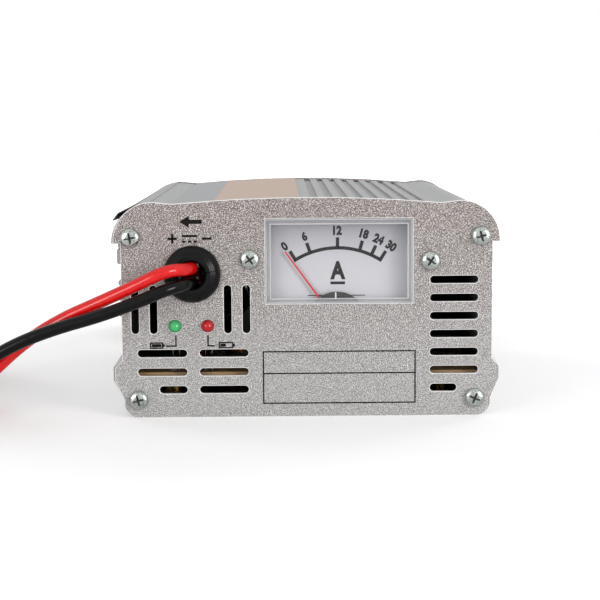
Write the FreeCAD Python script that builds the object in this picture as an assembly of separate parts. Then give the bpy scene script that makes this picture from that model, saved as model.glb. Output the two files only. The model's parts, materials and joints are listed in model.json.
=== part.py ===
import FreeCAD, Part
import math
import os

# Car battery charger: aluminium shells between two end panels, an ammeter and
# output leads with clamps at the front, a fan and the mains lead at the rear.
# Millimetres. +Z is up, the front panel looks towards -Y, the origin is the
# middle of the footprint on the surface that the case stands on.

os.makedirs("parts", exist_ok=True)
V = FreeCAD.Vector
AX = V(1, 0, 0)
AY = V(0, 1, 0)
AZ = V(0, 0, 1)

# Case
CASE_LENGTH = 180.0       # over both end panels
PANEL_T = 1.6
PANEL_SHIFT = 0.4         # the panels sit this far to the right of the shells
PANEL_MARGIN = 0.5        # the panels rise this far above the shells
SHELL_WALL = 2.2
WALL_HALF = 70.0          # half width at the side walls
LIP_HALF = 73.7           # half width at the shoulders
CASE_TOP = 83.5
LIP_DROP = 16.7           # from the crown down to the underside of the shoulders
SHOULDER_R = 15.0
RIDGE_DROP = 1.5          # from the crown down to the shoulder ridges
DIP_HALF = 51.0           # half width of the crown, between the two dips
DIP_DROP = 2.3
FOOT_R = 5.5
FOOT_INSET = 0.5
BUMP_Z = (7.0, 14.5, 19.4, 22.0)   # foot, flat from, flat to, side wall
SEAM_DROP = 9.8           # from the underside of the shoulders down to the seam
SEAM_GAP = 0.2
TONGUE_T = 1.0
TONGUE_H = 3.0
RIB_REACH = 1.2           # ribs and fins stand this far out of the side walls
FIN_H = 2.5
FIN_DROPS = (5.1, 10.9, 16.9)      # from the seam down to the fins
BAND_RIB_DROPS = (7.8, 2.0)        # foot and top, from the underside of the shoulders
SMALL_RIB_DROPS = (1.5, 0.4)
GROOVE_PITCH = 5.9
GROOVE_W = 2.9
GROOVE_DEPTH = 1.0
GROOVE_START = 3.5
GROOVE_COUNT = 8
LABEL_T = 0.3
LABEL_INSET = 1.0         # from the left dip to the printed sheet
LABEL_END_X = -2.2
SHEET_LIFT = 1.4          # the shoulder's sheet stands this far off at the front
FRONT_ANGLES = (31.0, 43.0, 66.0)  # free edge, crease, where it meets the shoulder
REAR_ANGLES = (8.0, 37.0, 62.0)    # the same lines at the rear, where it lies flat
SHEET_TOP_ANGLE = 88.0

# Fasteners
SCREW_R = 1.5
SCREW_HOLE_GAP = 0.2
THREAD_GAP = 0.05
HEAD_R = 3.7
HEAD_H = 2.4
CASE_SCREW_LENGTH = 12.0
CHANNEL_WALL = 1.9
CHANNEL_WEB = 2.4
UPPER_SCREW = (3.6, 14.5)          # in from the narrower of wall and shoulder, down from the crown
LOWER_SCREW = (5.8, 7.0)           # in from the side wall, up from the floor
FAN_HEAD_R = 4.6
FAN_SCREW_R = 2.0
FAN_SCREW_LENGTH = 14.0
BOARD_HEAD_R = 3.0
BOARD_HEAD_H = 1.8
BOARD_SCREW_LENGTH = 6.0

# Front panel
SLOT_W = 2.95
UPRIGHT_SLOTS = (-21.9, -14.9, 13.3, 20.4)     # beside the middle of the leads' hole
UPRIGHT_FOOT_Z = 32.3
UPRIGHT_DROP = 4.3        # their tops, below the middle of the leads' hole
LOW_ROWS_Z = (24.8, 17.6, 10.75)
LOW_COLUMNS = ((-21.2, -2.3), (2.4, 21.1))     # beside the middle of the leads' hole
SIDE_COLUMN = (23.3, 4.8)          # in from the right side wall
SIDE_ROW_COUNT = 7
SIDE_FOOT_Z = 10.9
SIDE_ROW_DROP = 31.1      # the top row, below the crown
CUT_ROW_LOSS = 8.2        # the lowest rows are this much shorter
OUTPUT_INSET = 26.5       # the leads' hole, in from the left side wall
OUTPUT_DROP = 28.3        # and below the crown
GROMMET_PROUD = 5.0       # flange in front of the panel
GROMMET_MOUTH = 0.6       # the bore widens by this much at the front
GROMMET_SNAP = 1.2        # snap flange, wider than the neck
GROMMET_TAIL = 4.0        # snap flange behind the panel
GROMMET_SLIT = 0.3
SLIT_ANGLE = 10.0         # from +X towards +Z
OUTPUT_FLANGE_R = 10.8
OUTPUT_NECK_R = 7.6
OUTPUT_BORE_R = 5.1
LED_SHIFTS = (-6.8, 5.6)           # beside the middle of the leads' hole
LED_R = 2.45
LED_PROUD = 2.6
LED_COLLAR = 0.5
LED_COLLAR_T = 1.0
LEG_SPACING = 2.54
LEG_REACH = 5.0

# Meter
WINDOW_GAPS = (27.7, 6.5)          # to the leads' hole and to the side column
WINDOW_DROP = 7.6         # below the crown
WINDOW_H = 32.3
LENS_PROUD = 2.0
LENS_T = 1.5
LENS_BEVEL = 1.8
LENS_GAP = 0.2
METER_DEPTH = 20.0
METER_WALL = 1.6
METER_FLOOR_DROP = 13.7   # below the window
METER_SCREWS = ((5.9, 15.3), (6.7, 16.2))      # beside the window, below its top
EAR_T = 3.0
EAR_R = 4.4
PIVOT_SHIFT = -0.8        # from the middle of the window
PIVOT_DROP = 7.5          # below the window
DIAL_T = 0.8
DIAL_BACK = 5.2           # dial face behind the panel's back
COVER_R = 11.5
NEEDLE_REACH = 33.4
NEEDLE_W = 0.8
NEEDLE_T = 0.5
NEEDLE_REST = -36.2
PIVOT_PIN_R = 0.8
PIVOT_PIN_GAP = 0.05

# Rear panel and fan
FAN_Z = 40.6
GRILLE_R = 28.65
HUB_DISC_R = 16.85
SPOKE_W = 8.15
SPOKE_ANGLES = (90.0, 210.0, 330.0)
STICKER_R = 10.3
STICKER_T = 0.2
FAN_SIZE = 60.0
FAN_DEPTH = 20.0
FAN_FLANGE_T = 3.4
FAN_BORE_R = 28.5
FAN_RING_T = 1.4
FAN_HOLE_PITCH = 50.0
HUB_R = 16.5
HUB_DEPTH = 13.0
HUB_WALL = 1.4
HUB_CLEARANCE = 1.4       # rotor to the end panel
BLADE_COUNT = 7
BLADE_R = 27.8
BLADE_T = 1.3
BLADE_CHORDS = (15.0, 18.0, 20.0)
BLADE_PITCHES = (50.0, 40.0, 32.0)
BLADE_CAMBER = 0.12
SHAFT_R = 1.5
SHAFT_GAP = 0.05
BUSH_R = 3.5
STRUT_T = 3.0
STRUT_W = 4.0
INPUT_INSET = 22.1        # in from the side wall
INPUT_Z = 22.8
INPUT_FLANGE_R = 9.8
INPUT_NECK_R = 6.4
INPUT_BORE_R = 4.5

# Electronics
BOARD_TOP = 16.6
BOARD_T = 1.6
BOARD_SIDE_GAP = 2.0
BOARD_END_GAPS = (4.4, 26.4)       # to the front and the rear panel
STANDOFF_R = 3.2
STANDOFF_INSETS = (13.8, 14.0, 16.0)   # from the board's sides, front and rear
LEG_R = 0.4
SEAT_GAP = 0.2            # between the board and what stands on it
CORE_W = 46.0
CORE_H = 40.0
CORE_T = 15.0
LIMB = 7.0
CORE_SHIFT = 19.0         # behind the middle of the board
WINDING_GAP = 0.3
FLANGE_T = 1.2
SINK_INSET = 13.8         # from the board's side to the back of the plate
SINK_T = 3.0
SINK_H = 36.0
SINK_FIN = 7.0
SINK_FIN_T = 1.5
SINK_FIN_COUNT = 6
SINK_END_INSETS = (36.0, 26.0)     # from the board's front and rear
TRANSISTOR_SIZE = (4.8, 15.6, 20.0)
TRANSISTOR_LIFT = 9.0
TRANSISTOR_HOLE = (1.8, 15.5)      # radius, and height above the package's foot
TRANSISTOR_INSETS = (20.0, 22.0)   # from the ends of the heat sink
TRANSISTOR_LEG = (0.6, 1.2, 5.4)   # thickness, width, spacing
RECTIFIER_X = -10.0
RECTIFIER_GAP = 2.4       # behind the meter
RECTIFIER_SIZE = (30.0, 4.6, 20.0)
RECTIFIER_LIFT = 4.0
RECTIFIER_BEVEL = 4.0
RECTIFIER_HOLE = (1.7, 13.0)
RECTIFIER_LEG = (1.0, 0.8, 7.3)
MAIN_CAN = (18.0, 48.0, 11.0, 32.0)    # x, distance from the board's front, radius, height
REAR_CANS = ((2.0, 16.0), (22.0, 18.0))        # x, distance from the board's rear
REAR_CAN_SIZE = (8.0, 25.0)
CAN_GROOVE = (0.8, 2.5, 4.1)       # depth, foot, top
CAN_BEVEL = 1.0
CHOKE_PLACE = (-24.0, 42.0)        # x, distance from the board's front
CHOKE_SIZE = (9.0, 18.0)           # radius, height
CHOKE_FLANGE_T = 2.0
CHOKE_POST_R = 4.0
CHOKE_WOUND_R = 8.2
CHOKE_GAP = 0.1
FUSE_PLACE = (-24.0, 14.0)         # x, distance from the board's rear
FUSE_LENGTH = 20.0
FUSE_R = 2.6
FUSE_CAP = 5.0
FUSE_LIFT = 2.0
CLIP_T = 3.0
CLIP_WALL = 0.8
INNER_WIRE_R = 1.4
INNER_WIRE_SHIFT = 1.6
OUTPUT_WIRE_RUNS = (24.0, 15.0)
INPUT_WIRE_INSET = 5.0

# Leads
LEAD_R = 2.4
LEAD_GAP = 0.2
MAINS_R = 3.6
COIL_GAP = 0.6
PILE_X = -151.0
PILE_Y = -78.0
PILE_R = 28.0
MAINS_COIL_X = 22.5
MAINS_COIL_Y = 150.0
MAINS_COIL_R = 46.0
MAINS_LAYER = 9.6
FLOOR_GAP = 0.2

# Clamps, each in its own frame: the handles' ends at x = 0, the jaws along +x
CLAMP_LENGTH = 78.0
CLAMP_H = 14.0
CLAMP_PIVOT = 40.0
CLAMP_SPREAD = 20.5
EAR_PLATE_T = 2.0
EAR_PLATE_R = 5.0
EAR_PLATE_GAP = 0.3
CLAMP_PIN_R = 1.5
PIN_GAP = 0.05
JAW_TEETH = 9
TOOTH_PITCH = 3.0
TOOTH_H = 1.6
SPRING_WIRE_R = 0.5
SPRING_R = 3.2
SPRING_PITCH = 1.5
SLEEVE_R = 4.2
SLEEVE_LENGTH = 8.0
ENTRY_Y = 18.0

# Derived places
LIP_Z = CASE_TOP - LIP_DROP
SEAM_Z = LIP_Z - SEAM_DROP
fins_z = [SEAM_Z - drop for drop in FIN_DROPS]
rib_half = WALL_HALF + RIB_REACH
output_z = CASE_TOP - OUTPUT_DROP
led_z = (output_z - OUTPUT_FLANGE_R + LOW_ROWS_Z[0] + SLOT_W / 2) / 2
output_x = PANEL_SHIFT - WALL_HALF + OUTPUT_INSET
input_x = PANEL_SHIFT - WALL_HALF + INPUT_INSET
side_column_x = [PANEL_SHIFT + WALL_HALF - inset for inset in SIDE_COLUMN]
upper_screw = (min(LIP_HALF, WALL_HALF) - UPPER_SCREW[0], CASE_TOP - UPPER_SCREW[1])
lower_screw = (WALL_HALF - LOWER_SCREW[0], LOWER_SCREW[1])
window_x = (output_x + WINDOW_GAPS[0], side_column_x[0] - WINDOW_GAPS[1])
window_z = (CASE_TOP - WINDOW_DROP - WINDOW_H, CASE_TOP - WINDOW_DROP)
pivot_x = (window_x[0] + window_x[1]) / 2 + PIVOT_SHIFT
pivot_z = window_z[0] - PIVOT_DROP
END_Y = CASE_LENGTH / 2
BACK_Y = END_Y - PANEL_T            # inner face of each end panel
FRONT_INNER = -BACK_Y
INNER_HALF = WALL_HALF - SHELL_WALL
FLOOR_Z = SHELL_WALL
meter_back = FRONT_INNER + METER_DEPTH
board_half = INNER_HALF - BOARD_SIDE_GAP
board_y = (FRONT_INNER + BOARD_END_GAPS[0], BACK_Y - BOARD_END_GAPS[1])


def save(name, shape):
    """Write one node and print how much material it holds."""
    shape.exportStep("parts/" + name + ".step")
    print(name, len(shape.Solids), "solid(s)", round(shape.Volume, 1), "mm3")


def box(x0, x1, y0, y1, z0, z1):
    """Block between two corners."""
    return Part.makeBox(x1 - x0, y1 - y0, z1 - z0, V(x0, y0, z0))


def rounded_box(x0, x1, y0, y1, z0, z1, axis, radius):
    """Block whose edges along one axis are rounded."""
    block = box(x0, x1, y0, y1, z0, z1)
    along = [e for e in block.Edges if abs(e.tangentAt(e.FirstParameter).dot(axis)) > 0.9]
    return block.makeFillet(radius, along)


def rod(x, y, z, radius, length, axis):
    """Round bar that starts at a point."""
    return Part.makeCylinder(radius, length, V(x, y, z), axis)


def turned(profile, x, z):
    """Solid of revolution about a line along Y; the profile is (radius, y)."""
    points = [V(x + r, y, z) for r, y in profile]
    return Part.Face(Part.makePolygon(points + points[:1])).revolve(V(x, 0, z), AY, 360)


def plate_xy(points, z0, z1):
    """Flat plate with a polygonal outline."""
    corners = [V(x, y, z0) for x, y in points]
    return Part.Face(Part.makePolygon(corners + corners[:1])).extrude(V(0, 0, z1 - z0))


def group(shapes):
    """Separate solids of one node."""
    return Part.makeCompound(shapes)


def polar(x, z, radius, degrees):
    """Point on a circle in the XZ plane, counted from +X towards +Z."""
    a = math.radians(degrees)
    return V(x + radius * math.cos(a), 0, z + radius * math.sin(a))


def joined(shapes):
    """One solid from overlapping or touching solids."""
    return shapes[0].fuse(shapes[1:]).removeSplitter()


def pan_screw(x, y, z, head_r, shank_r, length, inward):
    """Screw whose head rests on the plane y; inward is +1 or -1 along Y."""
    out = -inward
    head = rod(x, y, z, head_r, HEAD_H, AY * out)
    rim = [e for e in head.Edges if abs(e.CenterOfMass.y - (y + out * HEAD_H)) < 1e-6 and e.Closed]
    head = head.makeFillet(HEAD_H * 0.6, rim)
    return joined([head, rod(x, y, z, shank_r, length, AY * inward)])


# Case section, in the plane Y = 0


def case_outline(lip_half, wall_half, top):
    """Closed outline of the case: crown, dips, ridges, shoulders, walls, feet."""
    centre_x = lip_half - SHOULDER_R
    centre_z = top - RIDGE_DROP - SHOULDER_R
    diagonal = SHOULDER_R * math.sqrt(0.5)
    foot_half = wall_half - FOOT_INSET
    foot_x = foot_half - FOOT_R
    bend = FOOT_R * math.sqrt(0.5)
    corners = [V(foot_half, 0, FOOT_R), V(foot_half, 0, BUMP_Z[0]), V(lip_half, 0, BUMP_Z[1]),
               V(lip_half, 0, BUMP_Z[2]), V(wall_half, 0, BUMP_Z[3]), V(wall_half, 0, LIP_Z),
               V(lip_half, 0, LIP_Z), V(lip_half, 0, centre_z)]
    ridge = V(centre_x, 0, centre_z + SHOULDER_R)
    shoulder = V(centre_x + diagonal, 0, centre_z + diagonal)
    dip = V(DIP_HALF, 0, top - DIP_DROP)
    side = [Part.Arc(V(foot_x, 0, 0), V(foot_x + bend, 0, FOOT_R - bend), corners[0])]
    side += [Part.LineSegment(a, b) for a, b in zip(corners, corners[1:]) if (b - a).Length > 1e-6]
    side += [Part.Arc(corners[-1], shoulder, ridge), Part.LineSegment(ridge, dip)]
    right = [curve.toShape() for curve in side]
    left = [edge.mirror(V(0, 0, 0), AX) for edge in right]
    crown = Part.Arc(V(-DIP_HALF, 0, dip.z), V(0, 0, top), dip).toShape()
    base = Part.LineSegment(V(-foot_x, 0, 0), V(foot_x, 0, 0)).toShape()
    return Part.Wire(Part.__sortEdges__(right + left + [crown, base]))


def along_case(face, y0, y1):
    """Extrude a section face from y0 to y1."""
    moved = face.copy()
    moved.translate(V(0, y0, 0))
    return moved.extrude(V(0, y1 - y0, 0))


shell_face = Part.Face(case_outline(LIP_HALF, WALL_HALF, CASE_TOP))
hollow_face = shell_face.makeOffset2D(-SHELL_WALL)
panel_top = CASE_TOP + PANEL_MARGIN
panel_face = Part.Face(case_outline(LIP_HALF - 0.4, WALL_HALF + PANEL_MARGIN, panel_top))
panel_face.translate(V(PANEL_SHIFT, 0, 0))


def screw_channels(positions):
    """Channels that take the corner screws, each with a web to the wall; solids and bores."""
    tubes = []
    bores = []
    for x, z, outer in positions:
        for side in (-1, 1):
            radius = SCREW_R + CHANNEL_WALL
            x0, x1 = sorted((side * x, side * (outer - SHELL_WALL / 2)))
            tubes.append(rod(side * x, -BACK_Y, z, radius, 2 * BACK_Y, AY))
            tubes.append(box(x0, x1, -BACK_Y, BACK_Y, z - CHANNEL_WEB / 2, z + CHANNEL_WEB / 2))
            bores.append(rod(side * x, -BACK_Y, z, SCREW_R + THREAD_GAP, 2 * BACK_Y, AY))
    return tubes, bores


def side_fin(side, z):
    """Round-edged cooling fin along a side wall, rooted in the wall."""
    radius = FIN_H / 2
    x0, x1 = sorted((side * (WALL_HALF - SHELL_WALL / 2), side * (rib_half - radius)))
    root = box(x0, x1, -BACK_Y, BACK_Y, z - radius, z + radius)
    return root.fuse(rod(side * (rib_half - radius), -BACK_Y, z, radius, 2 * BACK_Y, AY))


def side_rib(side, drops):
    """Flat rib along a side wall, rooted in the wall."""
    x0, x1 = sorted((side * (WALL_HALF - SHELL_WALL / 2), side * rib_half))
    foot, top = drops
    return box(x0, x1, -BACK_Y, BACK_Y, LIP_Z - foot, LIP_Z - top)


def upper_shell():
    """Roof and shoulders with grooves, flat ribs, tongues and screw channels."""
    tubes, bores = screw_channels([(*upper_screw, LIP_HALF)])
    wall = along_case(shell_face, -BACK_Y, BACK_Y).cut(along_case(hollow_face, -BACK_Y, BACK_Y))
    wall = wall.fuse([tube.common(along_case(shell_face, -BACK_Y, BACK_Y)) for tube in tubes])
    roof = wall.common(box(-2 * LIP_HALF, 2 * LIP_HALF, -BACK_Y, BACK_Y, SEAM_Z, 2 * CASE_TOP))
    ribs = []
    for side in (-1, 1):
        ribs.append(side_rib(side, BAND_RIB_DROPS))
        ribs.append(side_rib(side, SMALL_RIB_DROPS))
        x0, x1 = sorted((side * INNER_HALF, side * (INNER_HALF + TONGUE_T)))
        ribs.append(box(x0, x1, -BACK_Y, BACK_Y, SEAM_Z - TONGUE_H, SEAM_Z + TONGUE_T))
    grooves = []
    for number in range(GROOVE_COUNT):
        x = GROOVE_START + number * GROOVE_PITCH
        crown = DIP_DROP * (x / DIP_HALF) ** 2
        floor = CASE_TOP - crown - GROOVE_DEPTH
        grooves.append(box(x - GROOVE_W / 2, x + GROOVE_W / 2, -BACK_Y, BACK_Y, floor, 2 * CASE_TOP))
    return roof.fuse(ribs).cut(bores + grooves).removeSplitter()


def lower_shell():
    """Trough with cooling fins, rebates for the tongues and screw channels."""
    tubes, bores = screw_channels([(*lower_screw, WALL_HALF - FOOT_INSET)])
    wall = along_case(shell_face, -BACK_Y, BACK_Y).cut(along_case(hollow_face, -BACK_Y, BACK_Y))
    wall = wall.fuse([tube.common(along_case(shell_face, -BACK_Y, BACK_Y)) for tube in tubes])
    rim = SEAM_Z - SEAM_GAP
    trough = wall.common(box(-2 * LIP_HALF, 2 * LIP_HALF, -BACK_Y, BACK_Y, 0, rim))
    fins = [side_fin(side, z) for side in (-1, 1) for z in fins_z]
    cuts = list(bores)
    for side in (-1, 1):
        x0, x1 = sorted((side * (INNER_HALF - 1), side * (INNER_HALF + TONGUE_T + SEAM_GAP)))
        cuts.append(box(x0, x1, -BACK_Y, BACK_Y, SEAM_Z - TONGUE_H - SEAM_GAP, SEAM_Z))
    return trough.fuse(fins).cut(cuts).removeSplitter()


def label_top():
    """Printed sheet that covers the smooth half of the roof."""
    lower = along_case(shell_face, -BACK_Y, BACK_Y)
    upper = lower.copy()
    upper.translate(V(0, 0, LABEL_T))
    strip = box(LABEL_INSET - DIP_HALF, LABEL_END_X, -BACK_Y, BACK_Y, CASE_TOP / 2, 2 * CASE_TOP)
    return upper.cut(lower).common(strip)


def label_side():
    """Coloured strip on the flat rib of the left wall."""
    foot, top = BAND_RIB_DROPS
    return box(-rib_half - LABEL_T, -rib_half, -BACK_Y, BACK_Y, LIP_Z - foot + LABEL_T, LIP_Z - top - LABEL_T)


def shoulder_arc(centre, radius, start, end):
    """Arc on the left shoulder; angles count up from the outer side."""
    def at(degrees):
        return polar(centre.x, centre.z, radius, 180 - degrees)
    return Part.Arc(at(start), at((start + end) / 2), at(end)).toShape()


def label_shoulder_section(y, angles, lift):
    """Outline of the shoulder's sheet: flat, or lifted from its free edge to the crease."""
    centre = V(SHOULDER_R - LIP_HALF, 0, CASE_TOP - RIDGE_DROP - SHOULDER_R)
    low, crease, high = angles
    layers = []
    for radius in (SHOULDER_R + THREAD_GAP, SHOULDER_R + THREAD_GAP + LABEL_T):
        if lift:
            corners = [polar(centre.x, centre.z, radius + lift, 180 - low),
                       polar(centre.x, centre.z, radius + lift, 180 - crease),
                       polar(centre.x, centre.z, radius, 180 - high)]
            edges = [Part.LineSegment(a, b).toShape() for a, b in zip(corners, corners[1:])]
        else:
            edges = [shoulder_arc(centre, radius, low, crease), shoulder_arc(centre, radius, crease, high)]
        edges.append(shoulder_arc(centre, radius, high, SHEET_TOP_ANGLE))
        layers.append(edges)
    inner, outer = layers
    ends = [Part.LineSegment(inner[0].firstVertex().Point, outer[0].firstVertex().Point).toShape(),
            Part.LineSegment(inner[-1].lastVertex().Point, outer[-1].lastVertex().Point).toShape()]
    wire = Part.Wire(Part.__sortEdges__(inner + outer + ends))
    wire.translate(V(0, y, 0))
    return wire


def label_shoulder():
    """Sheet on the left shoulder, creased and lifted at the front, flat at the rear."""
    front = label_shoulder_section(-BACK_Y, FRONT_ANGLES, SHEET_LIFT)
    rear = label_shoulder_section(BACK_Y, REAR_ANGLES, 0)
    return Part.makeLoft([front, rear], True, True)


save("upper_shell", upper_shell())
save("lower_shell", lower_shell())
save("label_top", label_top())
save("label_side", label_side())
save("label_shoulder", label_shoulder())


# End panels


def level_slot(x0, x1, z):
    """Level opening with round ends through the front panel."""
    r = SLOT_W / 2
    middle = box(x0 + r, x1 - r, -END_Y, -BACK_Y, z - r, z + r)
    return joined([middle] + [rod(x, -END_Y, z, r, PANEL_T, AY) for x in (x0 + r, x1 - r)])


def upright_slot(x, z0, z1):
    """Upright opening with round ends through the front panel."""
    r = SLOT_W / 2
    middle = box(x - r, x + r, -END_Y, -BACK_Y, z0 + r, z1 - r)
    return joined([middle] + [rod(x, -END_Y, z, r, PANEL_T, AY) for z in (z0 + r, z1 - r)])


def front_slots():
    """Ventilation slots of the front panel."""
    cuts = [upright_slot(output_x + x, UPRIGHT_FOOT_Z, output_z - UPRIGHT_DROP) for x in UPRIGHT_SLOTS]
    (left, inner), (start, right) = [[output_x + x for x in column] for column in LOW_COLUMNS]
    for z in LOW_ROWS_Z:
        lost = CUT_ROW_LOSS if z == LOW_ROWS_Z[-1] else 0
        cuts.append(level_slot(left + lost, inner, z))
        cuts.append(level_slot(start, right, z))
    left, right = side_column_x
    pitch = (CASE_TOP - SIDE_ROW_DROP - SIDE_FOOT_Z) / (SIDE_ROW_COUNT - 1)
    for number in range(SIDE_ROW_COUNT):
        lost = 0 if number else CUT_ROW_LOSS
        cuts.append(level_slot(left, right - lost, SIDE_FOOT_Z + pitch * number))
    return cuts


def screw_holes(positions, radius, y0):
    """Clearance holes through one panel."""
    return [rod(x, y0, z, radius + SCREW_HOLE_GAP, PANEL_T, AY) for x, z in positions]


corner_screws = [(side * x, z) for x, z in (upper_screw, lower_screw) for side in (-1, 1)]
meter_screws = [(window_x[0] - METER_SCREWS[0][0], window_z[1] - METER_SCREWS[0][1]),
                (window_x[1] + METER_SCREWS[1][0], window_z[1] - METER_SCREWS[1][1])]
half_pitch = FAN_HOLE_PITCH / 2
fan_screws = [(PANEL_SHIFT + half_pitch, FAN_Z + half_pitch), (PANEL_SHIFT - half_pitch, FAN_Z - half_pitch)]


def front_panel():
    """Sheet with the meter's window, slots, lamp holes and the lead's hole."""
    plate = along_case(panel_face, -END_Y, -BACK_Y)
    cuts = front_slots()
    cuts.append(box(*window_x, -END_Y, -BACK_Y, *window_z))
    cuts.append(rod(output_x, -END_Y, output_z, OUTPUT_NECK_R + THREAD_GAP, PANEL_T, AY))
    for shift in LED_SHIFTS:
        cuts.append(rod(output_x + shift, -END_Y, led_z, LED_R + THREAD_GAP, PANEL_T, AY))
    cuts += screw_holes(corner_screws + meter_screws, SCREW_R, -END_Y)
    return plate.cut(cuts)


def grille(y0, y1):
    """Ring-shaped openings between the hub disc and the spokes."""
    x = PANEL_SHIFT
    ring = rod(x, y0, FAN_Z, GRILLE_R, y1 - y0, AY).cut(rod(x, y0, FAN_Z, HUB_DISC_R, y1 - y0, AY))
    for angle in SPOKE_ANGLES:
        spoke = box(0, 2 * GRILLE_R, y0, y1, -SPOKE_W / 2, SPOKE_W / 2)
        spoke.rotate(V(0, 0, 0), AY, -angle)
        spoke.translate(V(x, 0, FAN_Z))
        ring = ring.cut(spoke)
    return ring


def rear_panel():
    """Sheet with the fan's grille and the mains lead's hole."""
    plate = along_case(panel_face, BACK_Y, END_Y)
    cuts = [grille(BACK_Y, END_Y)]
    cuts.append(rod(input_x, BACK_Y, INPUT_Z, INPUT_NECK_R + THREAD_GAP, PANEL_T, AY))
    cuts += screw_holes(corner_screws, SCREW_R, BACK_Y)
    cuts += screw_holes(fan_screws, FAN_SCREW_R, BACK_Y)
    return plate.cut(cuts)


def grommet(x, z, flange_r, neck_r, bore_r, outward):
    """Strain relief with a domed flange outside and a snap flange inside."""
    proud = outward * (END_Y + GROMMET_PROUD)
    outer = outward * END_Y
    inner = outward * BACK_Y
    tail = outward * (BACK_Y - GROMMET_TAIL)
    mouth = bore_r + GROMMET_MOUTH
    profile = [(bore_r, proud - outward * GROMMET_MOUTH), (mouth, proud), (mouth + 1.4, proud),
               (flange_r - 1.8, proud - outward * 1.0), (flange_r - 0.7, proud - outward * 2.2),
               (flange_r, proud - outward * 3.6), (flange_r, outer), (neck_r, outer), (neck_r, inner),
               (neck_r + GROMMET_SNAP, inner), (neck_r, tail), (bore_r, tail)]
    body = turned(profile, x, z)
    y0, y1 = sorted((proud, tail))
    slit = box(x, x + flange_r + 1, y0, y1, z - GROMMET_SLIT / 2, z + GROMMET_SLIT / 2)
    slit.rotate(V(x, 0, z), AY, -SLIT_ANGLE)
    return body.cut(slit)


save("front_panel", front_panel())
save("rear_panel", rear_panel())
save("output_grommet", grommet(output_x, output_z, OUTPUT_FLANGE_R, OUTPUT_NECK_R, OUTPUT_BORE_R, -1))
save("input_grommet", grommet(input_x, INPUT_Z, INPUT_FLANGE_R, INPUT_NECK_R, INPUT_BORE_R, 1))
save("hub_sticker", rod(PANEL_SHIFT, END_Y, FAN_Z, STICKER_R, STICKER_T, AY))
save("case_screws", group([pan_screw(x, side * END_Y, z, HEAD_R, SCREW_R, CASE_SCREW_LENGTH, -side)
                           for side in (-1, 1) for x, z in corner_screws]))
save("fan_screws", group([pan_screw(x, END_Y, z, FAN_HEAD_R, FAN_SCREW_R, FAN_SCREW_LENGTH, -1)
                          for x, z in fan_screws]))
save("meter_screws", group([pan_screw(x, -END_Y, z, HEAD_R, SCREW_R, PANEL_T + EAR_T, 1)
                            for x, z in meter_screws]))


# Signal lamps


def lamp(x):
    """Round-ended lamp with a collar behind the panel and two legs to the board."""
    tip = -END_Y - LED_PROUD
    reach = -BACK_Y + LEG_REACH
    root = -BACK_Y + LED_COLLAR_T / 2
    dome = Part.makeSphere(LED_R, V(x, tip + LED_R, led_z))
    barrel = rod(x, tip + LED_R, led_z, LED_R, -BACK_Y + LED_COLLAR_T - tip - LED_R, AY)
    collar = rod(x, -BACK_Y, led_z, LED_R + LED_COLLAR, LED_COLLAR_T, AY)
    legs = []
    for side in (-LEG_SPACING / 2, LEG_SPACING / 2):
        legs.append(rod(x + side, root, led_z, LEG_R, reach - root, AY))
        legs.append(Part.makeSphere(LEG_R, V(x + side, reach, led_z)))
        legs.append(rod(x + side, reach, BOARD_TOP, LEG_R, led_z - BOARD_TOP, AZ))
    return joined([dome, barrel, collar] + legs)


save("green_led", lamp(output_x + LED_SHIFTS[0]))
save("red_led", lamp(output_x + LED_SHIFTS[1]))


# Meter behind the front panel's window

case_x = (window_x[0] - METER_WALL, window_x[1] + METER_WALL)
case_z = (window_z[0] - METER_FLOOR_DROP, window_z[1] + METER_WALL)
dial_y = -BACK_Y + DIAL_BACK
needle_y = dial_y - 1.6


def meter_case():
    """Open-fronted housing with two ears that the screws go into."""
    outer = rounded_box(case_x[0], case_x[1], -BACK_Y, meter_back, *case_z, AY, 2.0)
    hollow = box(case_x[0] + METER_WALL, case_x[1] - METER_WALL, -BACK_Y, meter_back - METER_WALL,
                 case_z[0] + METER_WALL, case_z[1] - METER_WALL)
    holes = []
    ears = []
    for x, z in meter_screws:
        edge = case_x[0] if x < pivot_x else case_x[1]
        x0, x1 = sorted((x, edge + (0.5 if x < pivot_x else -0.5)))
        ears.append(rod(x, -BACK_Y, z, EAR_R, EAR_T, AY))
        ears.append(box(x0, x1, -BACK_Y, -BACK_Y + EAR_T, z - EAR_R, z + EAR_R))
        holes.append(rod(x, -BACK_Y, z, SCREW_R + THREAD_GAP, EAR_T, AY))
    boss = rod(pivot_x, meter_back - METER_WALL - 4.0, pivot_z, 3.0, 4.0, AY)
    socket = rod(pivot_x, meter_back - METER_WALL - 4.0, pivot_z, PIVOT_PIN_R + PIVOT_PIN_GAP, 3.0, AY)
    shell = outer.cut(hollow)
    for ear in ears:
        shell = shell.fuse(ear.cut(hollow))
    return shell.fuse(boss).cut(holes + [socket]).removeSplitter()


def meter_lens():
    """Clear cap that stands proud of the panel with bevelled edges."""
    x0, x1 = (window_x[0] + LENS_GAP, window_x[1] - LENS_GAP)
    z0, z1 = (window_z[0] + LENS_GAP, window_z[1] - LENS_GAP)
    face_y = -END_Y - LENS_PROUD
    cap = box(x0, x1, face_y, -BACK_Y + LENS_T, z0, z1)
    rim = [e for e in cap.Edges if abs(e.CenterOfMass.y - face_y) < 1e-6]
    cap = cap.makeChamfer(LENS_BEVEL, rim)
    inside = box(x0 + LENS_T, x1 - LENS_T, face_y + LENS_T, -BACK_Y + LENS_T, z0 + LENS_T, z1 - LENS_T)
    edges = [e for e in inside.Edges if abs(e.CenterOfMass.y - face_y - LENS_T) < 1e-6]
    return cap.cut(inside.makeChamfer(LENS_BEVEL - LENS_T / 2, edges))


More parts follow.
